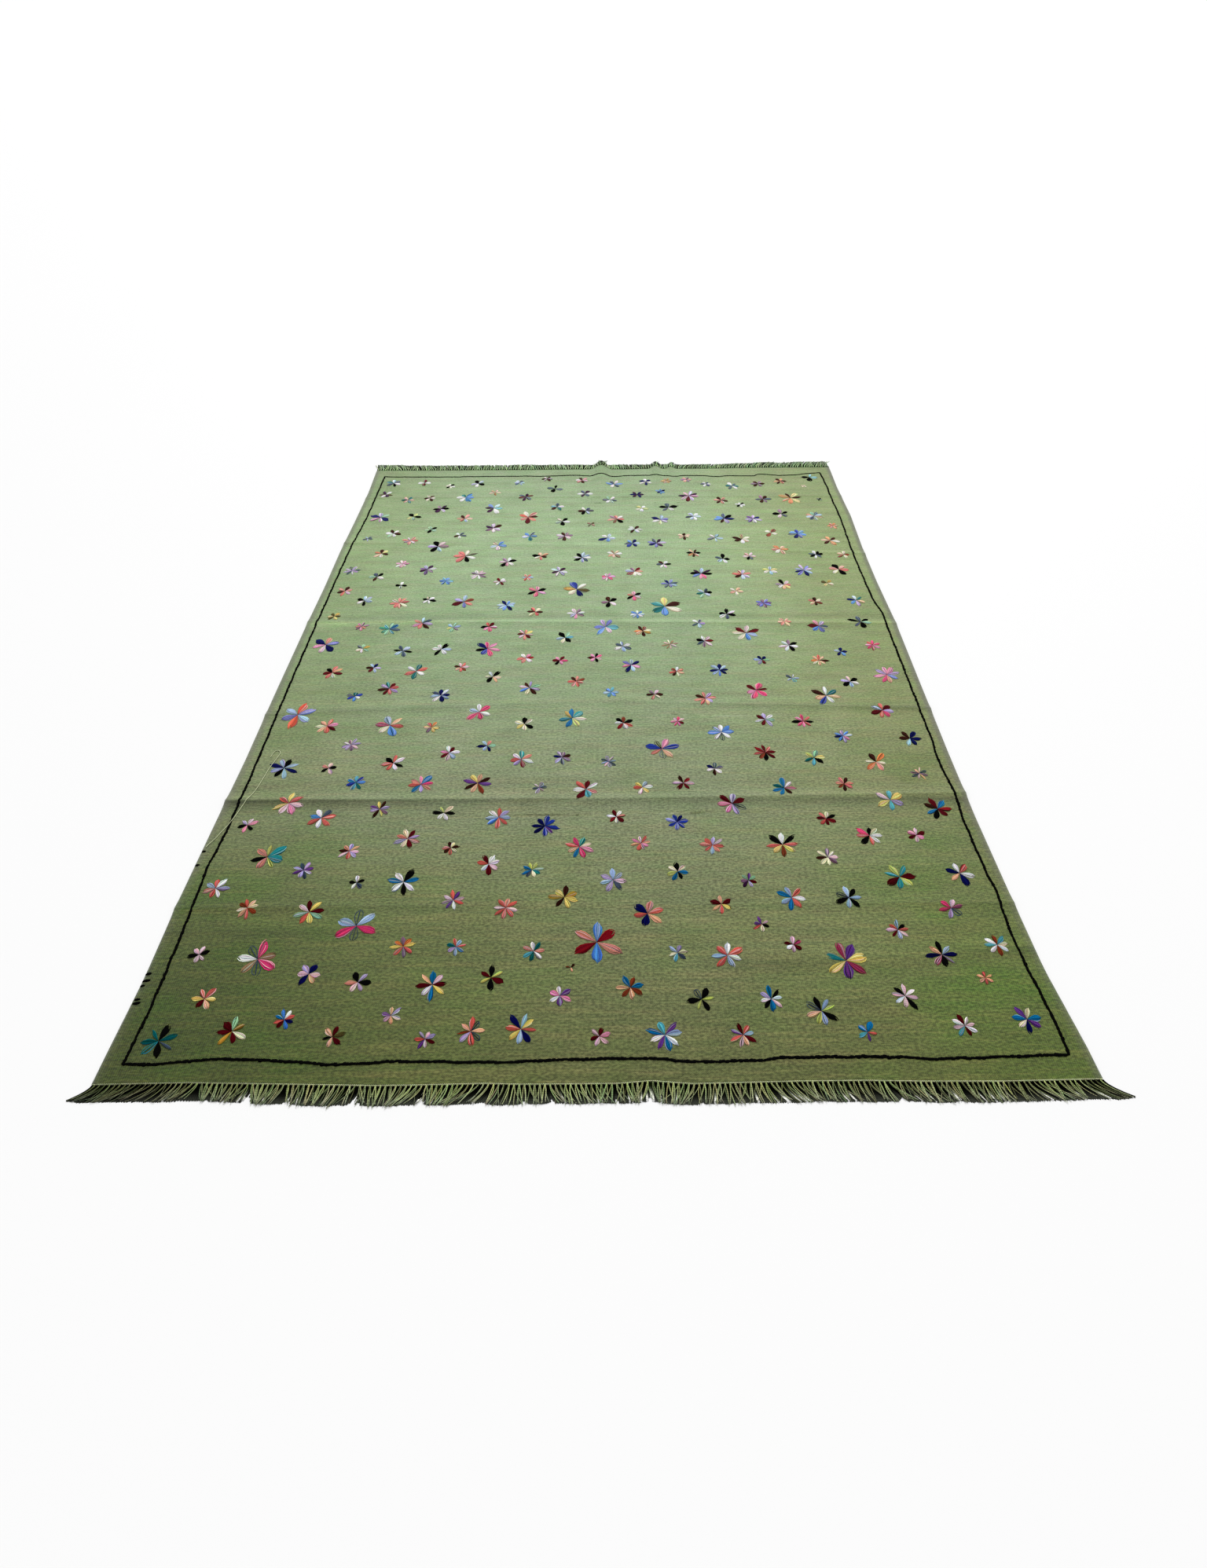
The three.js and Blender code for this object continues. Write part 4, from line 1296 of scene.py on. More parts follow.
@dataclass
class GroundCloth:
    """The woven cloth, one closed sheet with its selvages, folds and ripples."""

    name: str = "ground_cloth_woven"
    row_step: float = 0.0125
    column_step: float = 0.022
    ripple_step: float = 0.0065
    rippled: tuple[float, float] = (-0.072, 0.34)
    rim: float = 0.0012
    crease_offsets: tuple[float, ...] = (
        -58, -42, -30, -21, -14, -8, -3.5, 0, 3.5, 8, 14, 21, 30, 42, 58)
    selvage_insets: tuple[float, ...] = (0, 2, 4, 6, 8, 11, 14, 20)

    @staticmethod
    def fill(stations: Array, step: float) -> Array:
        """Fill gaps between stations evenly.

        Args:
            stations: Sorted rows of places; the gap is measured in the first column.
            step: The widest gap that stays.

        Returns:
            The stations with the new ones between them.
        """
        kept = [stations[0]]
        for station in stations[1:]:
            gap = station[0] - kept[-1][0]
            if gap < step / 4:
                continue
            parts = int(np.ceil(gap / step))
            kept.extend(kept[-1] + (station - kept[-1]) * part / parts
                        for part in range(1, parts + 1))
        return np.array(kept)

    def columns(self) -> Array:
        """Stations across, as shares of half the width: close at selvages and ripples."""
        half = CLOTH.width / 2
        insets = np.array(self.selvage_insets) * MM
        ripples = np.arange(*self.rippled, self.ripple_step)
        places = np.sort(np.concatenate([insets - half, half - insets, ripples]))
        return self.fill(places[:, None], self.column_step)[:, 0] / half

    def rows(self) -> Array:
        """Stations along at the left side, middle and right side: close at the creases."""
        half = CLOTH.length / 2
        rows = [[-half] * 3, [half] * 3]
        for fold in FOLDS:
            places = np.array([fold.left, fold.middle, fold.right])
            rows.extend(list((places + offset) * MM) for offset in self.crease_offsets)
        rows = np.array(sorted(rows))
        return self.fill(rows, self.row_step)

    def grid(self) -> tuple[Array, Array, Array]:
        """Plan of the cloth.

        A point is its share across times the half width there, and its row's place along,
        which runs straight between the left side, the middle and the right side.

        Returns:
            The places across and along, and the shares across.
        """
        rows = self.rows()
        shares = np.broadcast_to(self.columns(), (len(rows), len(self.columns())))
        along = between_sides(rows[:, 0:1], rows[:, 1:2], rows[:, 2:3], shares)
        along[0] = -CLOTH.end_distance(shares[0], "near")
        along[-1] = CLOTH.end_distance(shares[-1], "far")
        along[1] = along[0] + self.rim
        along[-2] = along[-1] - self.rim
        return shares * CLOTH.half_width(shares, along), along, shares

    def build(self) -> bpy.types.Object:
        """Make the sheet: a face and an underside joined round the edge.

        Returns:
            The finished piece.
        """
        across, along, shares = self.grid()
        under = CLOTH.lift(across, along)
        over = under + CLOTH.thickness_at(shares, along)
        rows, columns = across.shape
        points = np.stack([np.stack([across, along, height], axis=-1) for height in (under, over)])
        low, high = np.arange(2 * rows * columns).reshape(2, rows, columns)
        faces = np.stack([high[:-1, :-1], high[:-1, 1:], high[1:, 1:], high[1:, :-1]], axis=-1)
        backs = np.stack([low[:-1, :-1], low[1:, :-1], low[1:, 1:], low[:-1, 1:]], axis=-1)
        rim_low = np.concatenate([low[0, :-1], low[:-1, -1], low[-1, :0:-1], low[:0:-1, 0]])
        rim_high = np.concatenate([high[0, :-1], high[:-1, -1], high[-1, :0:-1], high[:0:-1, 0]])
        rim = np.stack([rim_low, np.roll(rim_low, -1), np.roll(rim_high, -1), rim_high], axis=-1)
        quads = np.concatenate([faces.reshape(-1, 4), backs.reshape(-1, 4), rim])
        surface = Surface()
        plan = np.stack([points[..., 0], points[..., 1]], axis=-1)
        surface.add(points, quads, np.ones_like(points), plan)
        piece = surface.piece(self.name, WovenGround().material())
        inset = (1 - np.abs(shares)) * CLOTH.half_width(shares, along)
        # The crease attribute carries the painted crease shading
        for name, values in (("inset", inset), ("crease", CLOTH.painted_crease_shades(across, along))):
            layer = piece.data.attributes.new(name, "FLOAT", "POINT")
            layer.data.foreach_set("value", np.tile(values.ravel(), 2).astype(np.float32))
        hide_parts("ground_cloth")
        return piece


@dataclass(frozen=True)
class FringeDyeAndShade:
    """The screen colours of a fringe: its twined row, its yarns and the painted shadow between
    them.
    """

    twine: tuple[int, int, int]
    root: tuple[int, int, int]
    tip: tuple[int, int, int]
    dark: tuple[int, int, int]
    dark_tip: tuple[int, int, int]


# The far end's yarns are lighter than the near end's: partly their own colour, partly painted
# light, as on the cloth
NEAR_FRINGE_DYE_AND_SHADE = FringeDyeAndShade(twine=(182, 188, 148), root=(141, 151, 99), tip=(151, 158, 128),
                     dark=(4, 5, 2), dark_tip=(74, 77, 68))
FAR_FRINGE_DYE_AND_SHADE = FringeDyeAndShade(twine=(165, 188, 146), root=(166, 192, 144), tip=(160, 176, 148),
                    dark=(14, 22, 10), dark_tip=(88, 96, 84))


@dataclass
class Fringe:
    """One end's fringe: a twined row, and bundles of yarns that hang out of it."""

    end: str
    clumps: tuple[Clump, ...]
    partings: tuple[Parting, ...]
    dye_and_shade: FringeDyeAndShade
    seed: int
    bundles: int = 197
    stations: tuple[float, ...] = (0.0, 0.1, 0.19, 0.3, 0.44, 0.6, 0.8, 1.0)
    root_out: float = 0.0026
    side_inset: float = 0.003
    clump_rounding: float = 0.1
    unevenness: tuple[tuple[float, float, float], ...] = ((0.0009, 190, 0), (0.0008, 97, 1))
    bundle_reach_scatter: float = 0.0010
    yarn_reach_scatter: float = 0.0012
    drift: float = 0.0010
    wave: float = 0.0008
    wave_rate: float = 5
    taper: float = 0.15
    stack: float = 0.0018
    stack_fall: float = 0.6
    root_rise: float = 0.0012
    plain_tone: float = 0.94
    darkest_tone: float = 0.25
    palest_tone: float = 1.6
    strip_gap: float = 0.0006
    twine_pitch: float = 0.0043
    twine_width: float = 0.0014
    twine_overlap: float = 1.15
    twine_half: float = 0.0011
    twine_thickness: float = 0.0032
    twine_crown: float = 0.0006
    twine_inset: float = 0.0012
    twine_shade: float = 0.1
    thick_yarn: float = 0.0025
    thick_scatter: float = 0.09
    thin_yarn: float = 0.0016
    thin_scatter: float = 0.30
    slimming: float = 0.9
    root_spread: float = 0.0013
    tip_spread: float = 0.0048
    combed: float = 0.45
    fan_from: float = 0.06
    fan_to: float = 0.36
    bundle_scatter: float = 0.12
    lean_scatter: float = 0.2
    bend: float = 1.6
    bundle_shade: float = 0.14
    lean_shade: float = 0.16
    shade_scatter: float = 0.26
    hue_scatter: float = 0.07
    gloom: float = 0.34
    gloom_from: float = -0.48
    gloom_to: float = -0.84
    tip_narrowing: float = 0.65
    shadow_strips: int = 3
    shadow_thickness: float = 0.0010
    shadow_blend: int = 25
    shadow_margin: float = 0.6
    shadow_scatter: float = 0.0005
    shadow_overlap: float = 0.62
    shadow_spare: float = 0.0006
    lit_share: float = 0.08
    lit_factor: float = 45.0

    def __post_init__(self) -> None:
        """Start the chance and the surface that the yarns are laid on."""
        self.rng = np.random.default_rng(self.seed)
        self.surface = Surface()

    @property
    def sign(self) -> float:
        """Which way out is along the rug."""
        return 1.0 if self.end == "far" else -1.0

    def out_place(self, across: Array, out: Array) -> Array:
        """Place along the rug of points at a distance out from the end line."""
        half = CLOTH.half_width(across, np.full_like(across, self.sign * CLOTH.length / 2))
        return self.sign * (CLOTH.end_distance(np.clip(across / half, -1, 1), self.end) + out)

    def raised(self, across: Array, way: Array | float) -> Array:
        """How far the ripples, which narrow on their way to the tips, lift the fringe."""
        narrowing = 1 + (self.tip_narrowing - 1) * way
        height = CLOTH.ripple_height(across, CLOTH.length / 2, narrowing)
        return height if self.end == "far" else 0 * height

    def points(self, across: Array, out: Array, height: Array) -> Array:
        """Points at places across, distances out from the end line, and heights."""
        return np.stack([across, self.out_place(across, out), height + 0 * across], axis=-1)

    def roots(self) -> tuple[Array, Array, Array]:
        """Where the bundles start, how far out they reach, and how they lean.

        The lean runs straight from each clump's first to its last value, and the reach falls
        off at both ends of a clump as the fourth power of the way from its middle.

        Returns:
            The places across, the reaches and the leans as tangents.
        """
        side = np.array([-1.0, 1.0])
        corner = np.full(2, self.sign * CLOTH.length / 2)
        start, finish = side * CLOTH.half_width(side, corner) - side * self.side_inset
        root = start + (np.arange(self.bundles) + 0.5) * (finish - start) / self.bundles
        starts = np.array([clump.start for clump in self.clumps]) * MM
        which = np.clip(np.searchsorted(starts, root, side="right") - 1, 0, None)
        ends = np.append(starts[1:], finish)
        part = np.clip((root - starts[which]) / (ends[which] - starts[which]), 0, 1)
        table = np.array(self.clumps)[which]
        lean = np.tan(np.radians(table[:, 2] * (1 - part) + table[:, 3] * part))
        reach = table[:, 1] * MM * (1 - self.clump_rounding * (2 * part - 1) ** 4)
        uneven = sum(size * np.sin(root * rate + start) for size, rate, start in self.unevenness)
        return root, reach + uneven, lean

    def daylight(self, across: Array) -> Array:
        """The share of the light that a place has: the near end's left corner is darker."""
        dark = self.gloom * smooth_step(self.gloom_from, self.gloom_to, across)
        return 1 - dark if self.end == "near" else 1 + 0 * dark

    def shadow(self) -> None:
        """Lay dark flat strips under the bundles, a painted shadow that fills the gaps between
        them.

        They lie side by side as flat strips. Their tips are the bundles' own, averaged over
        their neighbours, so that the clumps stay joined except at the partings, where they
        fall short by the parting's depth times the nearness to its place.
        """
        root, reach, lean = self.roots()
        edge = self.shadow_margin * (root[1] - root[0])
        start = np.linspace(root[0] - edge, root[-1] + edge, self.bundles * self.shadow_strips)
        weights = np.hanning(self.shadow_blend)
        weights /= weights.sum()
        pad = self.shadow_blend // 2

        def blended(values: Array) -> Array:
            """Average with the neighbours."""
            values = np.interp(start, root, values)
            padded = np.pad(values, pad, mode="reflect", reflect_type="odd")
            return np.convolve(padded, weights, "valid")

        tip = np.maximum.accumulate(blended(root + lean * reach))
        reach = blended(reach) + self.shadow_spare
        for parting in self.partings:
            near = np.clip(1 - np.abs(tip / MM - parting.place) / parting.half, 0, 1)
            reach = reach * (1 - parting.depth * near)
        reach = reach + self.shadow_scatter * self.rng.standard_normal(len(start))
        way = np.array(self.stations)
        out = self.root_out + (reach - self.root_out)[:, None] * way
        across = start[:, None] + (tip - start)[:, None] * way ** self.bend
        gap = (start[1] - start[0]) * (1 - way) + np.gradient(tip)[:, None] * way
        half = self.shadow_overlap * gap + self.shadow_spare
        centres = self.points(across, out, self.raised(start[:, None], way))
        colours = blend(self.dye_and_shade.dark, self.dye_and_shade.dark_tip, way[:, None] ** 5)
        # A few strips are drawn lighter, as yarns glimpsed in the painted shadow
        lit = np.where(self.rng.random(len(start)) < self.lit_share, self.lit_factor, 1.0)
        lit = lit * self.daylight(start)
        shades = lit[:, None, None] * np.minimum(colours, 0.9 / self.lit_factor)
        shades = np.where(lit[:, None, None] > 1, shades, lit[:, None, None] * colours)
        thick = self.shadow_thickness + 0 * across
        Strands(centres, half, thick, shades).sew(self.surface, STITCH_SECTION)

    def lay(self, count: int, thickness: float, scatter: float) -> None:
        """Lay yarns in every bundle.

        A yarn's middle line leaves the twined row near its bundle's root and bends away to the
        tip as a power of the way, while the yarns of a bundle fan out from each other. Leaning
        bundles lie closer, so their yarns are drawn finer, as a power of the lean's cosine.

        Args:
            count: How many a bundle has.
            thickness: Their thickness.
            scatter: How much their leans differ from the bundle's.
        """
        root, reach, lean = self.roots()
        root = np.repeat(root, count)
        slim = 1 / (1 + np.repeat(lean, count)[:, None] ** 2) ** self.slimming
        loose = self.bundle_scatter + self.lean_scatter * np.abs(lean)
        loose = loose * smooth_step(1.0, 0.97, np.abs(root[::count]))
        lean = lean + loose * self.rng.standard_normal(len(lean))
        tone = self.bundle_shade + self.lean_shade * np.abs(lean)
        tone = tone * self.rng.standard_normal(len(lean))
        lean = np.repeat(lean, count) + scatter * self.rng.standard_normal(len(root))
        reach = reach + self.bundle_reach_scatter * self.rng.standard_normal(len(reach))
        uneven = self.yarn_reach_scatter * self.rng.standard_normal(len(root))
        reach = np.repeat(reach, count) + uneven
        slot = np.tile(np.arange(count) - (count - 1) / 2, self.bundles)
        way = np.array(self.stations)
        out = self.root_out + (reach - self.root_out)[:, None] * way
        fan = smooth_step(self.fan_from, self.fan_to, way)
        tip_spread = self.tip_spread * (1 - self.combed * np.clip(np.abs(lean), 0, 1.2))
        spread = slot[:, None] * (self.root_spread * (1 - fan) + tip_spread[:, None] * fan)
        drift = self.drift * self.rng.standard_normal((len(root), 1)) * way
        bow = lean[:, None] * (reach - self.root_out)[:, None] * way ** self.bend
        phase = self.rng.uniform(0, math.tau, (len(root), 1))
        wave = self.wave * np.sin(way * self.wave_rate + phase) * way
        across = root[:, None] + spread + bow + drift + wave
        radius = thickness / 2 * slim * (1 - self.taper * way ** 3) + 0 * across
        stack = self.stack * self.rng.random((len(root), 1)) * (1 - self.stack_fall * way)
        rise = radius + self.shadow_thickness / 2 + stack + self.root_rise * (1 - way)
        centres = self.points(across, out, rise + self.raised(root[:, None], way))
        colours = blend(self.dye_and_shade.root, self.dye_and_shade.tip, way[:, None] ** 2)
        tone = np.repeat(tone, count) + self.shade_scatter * self.rng.standard_normal(len(root))
        tone = np.clip(self.plain_tone + tone, self.darkest_tone, self.palest_tone)
        lit = self.daylight(root) * tone
        hues = 1 + self.hue_scatter * self.rng.standard_normal((len(root), 1, 3))
        shades = lit[:, None, None] * hues * colours
        Strands(centres, radius, radius, shades).sew(self.surface, round_section(6))

    def twine_row(self) -> None:
        """A row of slanting stitches that binds the warp ends."""
        side = np.array([-1.0, 1.0])
        start, finish = side * CLOTH.half_width(side, np.full(2, self.sign * CLOTH.length / 2))
        places = np.arange(start + 0.002, finish - 0.002, self.twine_pitch)
        way = np.linspace(0, 1, 4)
        across = places[:, None] + (way - 0.5) * self.twine_pitch * self.twine_overlap
        across = np.clip(across, start + self.twine_inset, finish - self.twine_inset)
        out = self.strip_gap + self.twine_width * np.broadcast_to(way, across.shape)
        half = self.twine_half + 0 * across
        thick = self.twine_thickness + self.twine_crown * np.sin(np.pi * way) + 0 * across
        centres = self.points(across, out, self.raised(across, 0.0))
        plain = linear(self.dye_and_shade.twine) * self.daylight(places)[:, None]
        colours = vary(plain, self.twine_shade, self.rng)
        Strands(centres, half, thick, colours).sew(self.surface, STITCH_SECTION)

    def build(self) -> bpy.types.Object:
        """Make the fringe.

        Returns:
            The finished piece.
        """
        self.twine_row()
        self.shadow()
        self.lay(2, self.thick_yarn, self.thick_scatter)
        self.lay(1, self.thin_yarn, self.thin_scatter)
        wool = PliedWool(f"fringe_wool_{self.end}", mottle=1.0)
        piece = self.surface.piece(f"{self.end}_fringe_yarns", wool.material())
        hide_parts(f"{self.end}_fringe")
        return piece


def catmull_rom(points: Array, steps: int) -> Array:
    """A smooth line through points, each stretch a cubic set by its four nearest points.

    Args:
        points: The points that it passes through.
        steps: Steps in each stretch.

    Returns:
        Points along it.
    """
    ends = np.concatenate([[2 * points[0] - points[1]], points, [2 * points[-1] - points[-2]]])
    before, here, there, after = ends[:-3], ends[1:-2], ends[2:-1], ends[3:]
    part = (np.arange(steps) / steps)[None, :, None]
    line = 0.5 * (
        2 * here[:, None]
        + (there - before)[:, None] * part
        + (2 * before - 5 * here + 4 * there - after)[:, None] * part ** 2
        + (3 * here - before - 3 * there + after)[:, None] * part ** 3
    )
    return np.concatenate([line.reshape(-1, points.shape[1]), points[-1:]])


@dataclass
class LooseYarn:
    """The loose yarn that lies on the face at the left side."""

    diameter: float = 0.002
    clearance: float = 0.00035
    steps: int = 12
    sides: int = 10
    colour: tuple[int, int, int] = (186, 194, 152)

    def centre_line(self) -> Array:
        """The yarn's middle line, laid on the cloth, in the cloth's frame."""
        plan = catmull_rom(np.array(YARN_ROUTE, float) * MM, self.steps)
        radius = self.diameter / 2
        around = [(0, 0), (-radius, 0), (radius, 0), (0, -radius), (0, radius)]
        tops = [CLOTH.top(plan[:, 0] + dx, plan[:, 1] + dy) for dx, dy in around]
        height = np.max(tops, axis=0) + self.clearance + radius
        return np.column_stack([plan, height])

    def build(self) -> bpy.types.Object:
        """Make the yarn: a round section drawn along its line.

        Returns:
            The finished piece.
        """
        line = self.centre_line()
        radius = np.full((1, len(line)), self.diameter / 2)
        surface = Surface()
        Strands(line[None], radius, radius, linear(self.colour)[None]).sew(
            surface, round_section(self.sides))
        wool = PliedWool("loose_yarn_wool", ply_pitch=0.0035, sheen=0.3, gloss=0.18)
        piece = surface.piece("loose_yarn_plied", wool.material())
        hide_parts("loose_yarn")
        return piece


@dataclass
class BorderLine:
    """The dark stem-stitched line that runs round the rug, and the small loose stitches."""

    pitch: float = 0.0048
    stitch_length: float = 0.0100
    half_width: float = 0.0035
    far_share: float = 0.5
    rise: float = 0.0023
    slant: float = 0.0014
    sunk: float = 0.0003
    smoothness: int = 24
    stitch_stations: int = 5
    wander: float = 0.0006
    wander_rate: float = 71
    wander_scatter: float = 0.0005
    size_scatter: float = 0.16
    shade_scatter: float = 0.12
    end_width: float = 0.45
    end_height: float = 0.35
    mend_slant: float = 0.25
    seed: int = 11
    yarn: tuple[int, int, int] = (3, 4, 4)
    mends: tuple[tuple[float, float, float], ...] = (
        (-1000, -1140, 12), (-998, -1157, 16), (-1001, -1170, 9), (-999, -1203, 11),
        (-997, -1212, 15), (-1002, -788, 9), (-1003, -832, 10), (955, -918, 9),
    )

    def __post_init__(self) -> None:
        """Start the chance and the surface that the stitches are laid on."""
        self.rng = np.random.default_rng(self.seed)
        self.surface = Surface()

    def side(self, table: dict[str, tuple], order: int) -> Array:
        """One side's smooth line, in its table's order, or against it with an order of -1."""
        points = np.column_stack([table["across"], table["along"]])[::order]
        return catmull_rom(points.astype(float) * MM, self.smoothness)

    def stitches(self, line: Array) -> Array:
        """Middle lines of the slanting stitches along one side.

        Args:
            line: Points along the side.

        Returns:
            For each stitch, the places of its stations in plan.
        """
        steps = np.linalg.norm(np.diff(line, axis=0), axis=1)
        run = np.concatenate([[0], np.cumsum(steps)])
        places = np.arange(self.pitch / 2, run[-1], self.pitch)
        way = np.linspace(-0.5, 0.5, self.stitch_stations)
        at = np.clip(places[:, None] + way * self.stitch_length, 0, run[-1])
        across = np.interp(at, run, line[:, 0])
        along = np.interp(at, run, line[:, 1])
        ahead = np.stack([np.interp(at + MM, run, line[:, 0]) - across,
                          np.interp(at + MM, run, line[:, 1]) - along], axis=-1)
        ahead /= np.maximum(np.linalg.norm(ahead, axis=-1, keepdims=True), 1e-9)
        wander = self.wander * np.sin(places * self.wander_rate)
        wander += self.wander_scatter * self.rng.standard_normal(len(places))
        aside = wander[:, None] + way * 2 * self.slant
        return np.stack([across - aside * ahead[..., 1], along + aside * ahead[..., 0]], axis=-1)

    def sew(self, plan: Array, share: float) -> None:
        """Lay stitches on the cloth.

        Args:
            plan: For each stitch, its stations' places in plan.
            share: Their width as a share of half_width.
        """
        way = np.linspace(0, 1, plan.shape[1])
        bulge = np.sin(np.pi * np.clip(way, 0.06, 0.94))
        size = 1 + self.size_scatter * self.rng.standard_normal((len(plan), 1))
        half = self.half_width * share * size * (self.end_width + (1 - self.end_width) * bulge)
        high = self.rise * (self.end_height + (1 - self.end_height) * bulge) + 0 * half + self.sunk
        base = CLOTH.top(plan[..., 0], plan[..., 1]) - self.sunk
        centres = np.concatenate([plan, base[..., None]], axis=-1)
        plain = np.broadcast_to(linear(self.yarn), (len(plan), 3))
        colours = vary(plain, self.shade_scatter, self.rng)
        Strands(centres, half, high, colours).sew(self.surface, STITCH_SECTION)

    def mending(self) -> Array:
        """Small stitches across the left selvage and the knot on the right side line."""
        rows = np.array(self.mends) * MM
        way = np.linspace(-0.5, 0.5, self.stitch_stations)
        across = rows[:, 0:1] + rows[:, 2:3] * way
        along = rows[:, 1:2] + self.mend_slant * rows[:, 2:3] * way
        return np.stack([across, along], axis=-1)

    def build(self) -> bpy.types.Object:
        """Make the line and the small stitches.

        Returns:
            The finished piece.
        """
        sides = ((BORDER_NEAR, 1, 1.0), (BORDER_RIGHT, 1, 1.0),
                 (BORDER_FAR, -1, self.far_share), (BORDER_LEFT, -1, 1.0))
        for table, order, share in sides:
            self.sew(self.stitches(self.side(table, order)), share)
        self.sew(self.mending(), 1.0)
        material = PliedWool("border_wool").material()
        piece = self.surface.piece("border_line_stitches", material)
        return piece


class Bloom(NamedTuple):
    """One flower: its place and petals, in millimetres and degrees."""

    across: float
    along: float
    reach: float
    turn: float
    petals: int
    yarns: tuple[str, ...]


# A petal's width as a share of its flower's reach, by the number of petals
PETAL_WIDTHS = {3: 0.46, 4: 0.42, 5: 0.38, 6: 0.35, 7: 0.315, 8: 0.28}

# How wide a petal is beside a plain one, and its share of the reach, by its yarn's mark
PETAL_CUTS = {"+": (1.22, 0.97), "-": (0.55, 0.82)}
PLAIN_CUT = (1.0, 0.87)


def read_chart(chart: str) -> list[Bloom]:
    """Read a chart of flowers, one in each row."""
    rows = [line.split() for line in chart.strip().splitlines()]
    return [Bloom(*map(float, row[:4]), int(row[4]), tuple(row[5:])) for row in rows]


@dataclass
class Embroidery:
    """The scattered flowers in lengthwise satin stitch, and the rule that fills the gaps."""

    seed: int = 5
    filler_gap: float = 0.100
    filler_low: tuple[float, float] = (-0.925, 0.02)
    filler_high: tuple[float, float] = (0.915, 1.312)
    filler_tries: int = 6000
    filler_petals: tuple[int, ...] = (5, 6, 6, 7, 8)
    filler_reach: tuple[float, float] = (24, 35)
    stations: tuple[float, ...] = (0.02, 0.2, 0.42, 0.64, 0.84, 0.985)
    sheen_stitch_share: float = 0.16
    sheen_stitch_mix: float = 0.28
    pale: float = 0.72
    dark_limit: float = 0.08
    stitch_shade: float = 0.3
    # Painted light by place: place along, light, share of the way to the yarn's grey as painted
    # sheen, and the power that deepens near yarns
    painted_light_by_place: tuple[tuple[float, float, float, float], ...] = (
        (-1.40, 0.82, 0.02, 1.28), (-0.90, 0.86, 0.05, 1.24), (-0.50, 0.92, 0.13, 1.15),
        (0.0, 1.06, 0.20, 1.06), (0.60, 1.24, 0.30, 1.0), (1.40, 1.44, 0.42, 1.0),
    )
    broadness: float = 1.1
    length_scatter: float = 0.07
    width_scatter: float = 0.12
    turn_scatter: float = 0.07
    swell: float = 1.8
    bluntness: float = 0.58
    ragged: float = 0.055
    bend: float = 0.04
    overlap: float = 1.12
    spare: float = 0.00018
    outline_half: float = 0.0010
    heart_shade: float = 0.7
    lowest_rise: float = 0.0009
    crown_rise: float = 0.0016
    sunk: float = 0.0003
    quarters: tuple[tuple[str, float, float, float], ...] = (
        ("near", -1.5, -0.72, 0.0022), ("middle", -0.72, 0.1, 0.0024),
        ("far", 0.1, 0.8, 0.0029), ("farthest", 0.8, 1.5, 0.0034),
    )
    filler_yarns: tuple[str, ...] = (
        "black+ white blush", "navy ice salmon", "coral peach brown", "slate ice white",
        "maroon blush lilac", "sky ice white", "brown cream peach", "plum lilac mauve",
        "rust peach cream", "pink rose blush", "teal mint white", "orange yellow brown",
        "purple peri lilac", "black+ mint cream", "salmon coral tan", "azure sky navy",
    )

    def __post_init__(self) -> None:
        """Start the chance."""
        self.rng = np.random.default_rng(self.seed)

    def fillers(self, charted: list[Bloom]) -> list[Bloom]:
        """Smaller flowers in the gaps between the charted ones of the far half.

        Out of many chance places, the one furthest from every flower is taken again and
        again, until the widest gap left is smaller than filler_gap.

        Args:
            charted: The flowers that are there.

        Returns:
            The new flowers.
        """
        tries = self.rng.uniform(self.filler_low, self.filler_high, (self.filler_tries, 2))
        there = np.array([(bloom.across, bloom.along) for bloom in charted]) * MM
        apart = np.min(np.linalg.norm(tries[:, None] - there[None], axis=-1), axis=1)
        added = []
        while apart.max() > self.filler_gap:
            place = tries[np.argmax(apart)]
            apart = np.minimum(apart, np.linalg.norm(tries - place, axis=1))
            yarns = self.filler_yarns[self.rng.integers(len(self.filler_yarns))].split()
            petals = int(self.rng.choice(self.filler_petals))
            reach = self.rng.uniform(*self.filler_reach)
            turn = self.rng.uniform(0, 180)
            yarns = tuple(self.rng.permutation(yarns))
            added.append(Bloom(place[0] / MM, place[1] / MM, reach, turn, petals, yarns))
        return added

    def petals(self, blooms: list[Bloom]) -> tuple[Array, Array]:
        """Spread every flower into its petals.

        Petals stand at even angles round the middle. The yarns are used in order and begun
        again, so that petals across from each other mostly match.

        Args:
            blooms: The flowers.

        Returns:
            For each petal its place across and along, direction, length, width and whether
            it is an open outline, and its linear colour.
        """
        rows = []
        colours = []
        for bloom in blooms:
            plump = self.broadness * bloom.reach * MM * PETAL_WIDTHS[bloom.petals]
            for number in range(bloom.petals):
                yarn = bloom.yarns[number % len(bloom.yarns)]
                size, stretch = PETAL_CUTS.get(yarn[-1], PLAIN_CUT)
                angle = math.radians(bloom.turn + 360 * number / bloom.petals)
                length = bloom.reach * MM * stretch
                length *= 1 + self.length_scatter * self.rng.standard_normal()
                width = plump * size * (1 + self.width_scatter * self.rng.standard_normal())
                angle += self.turn_scatter * self.rng.standard_normal()
                is_open = yarn[-1] == "~"
                rows.append((bloom.across * MM, bloom.along * MM, angle, length, width, is_open))
                colours.append(linear(Yarn[yarn.strip("+-~").upper()].value))
        return np.array(rows), np.array(colours)

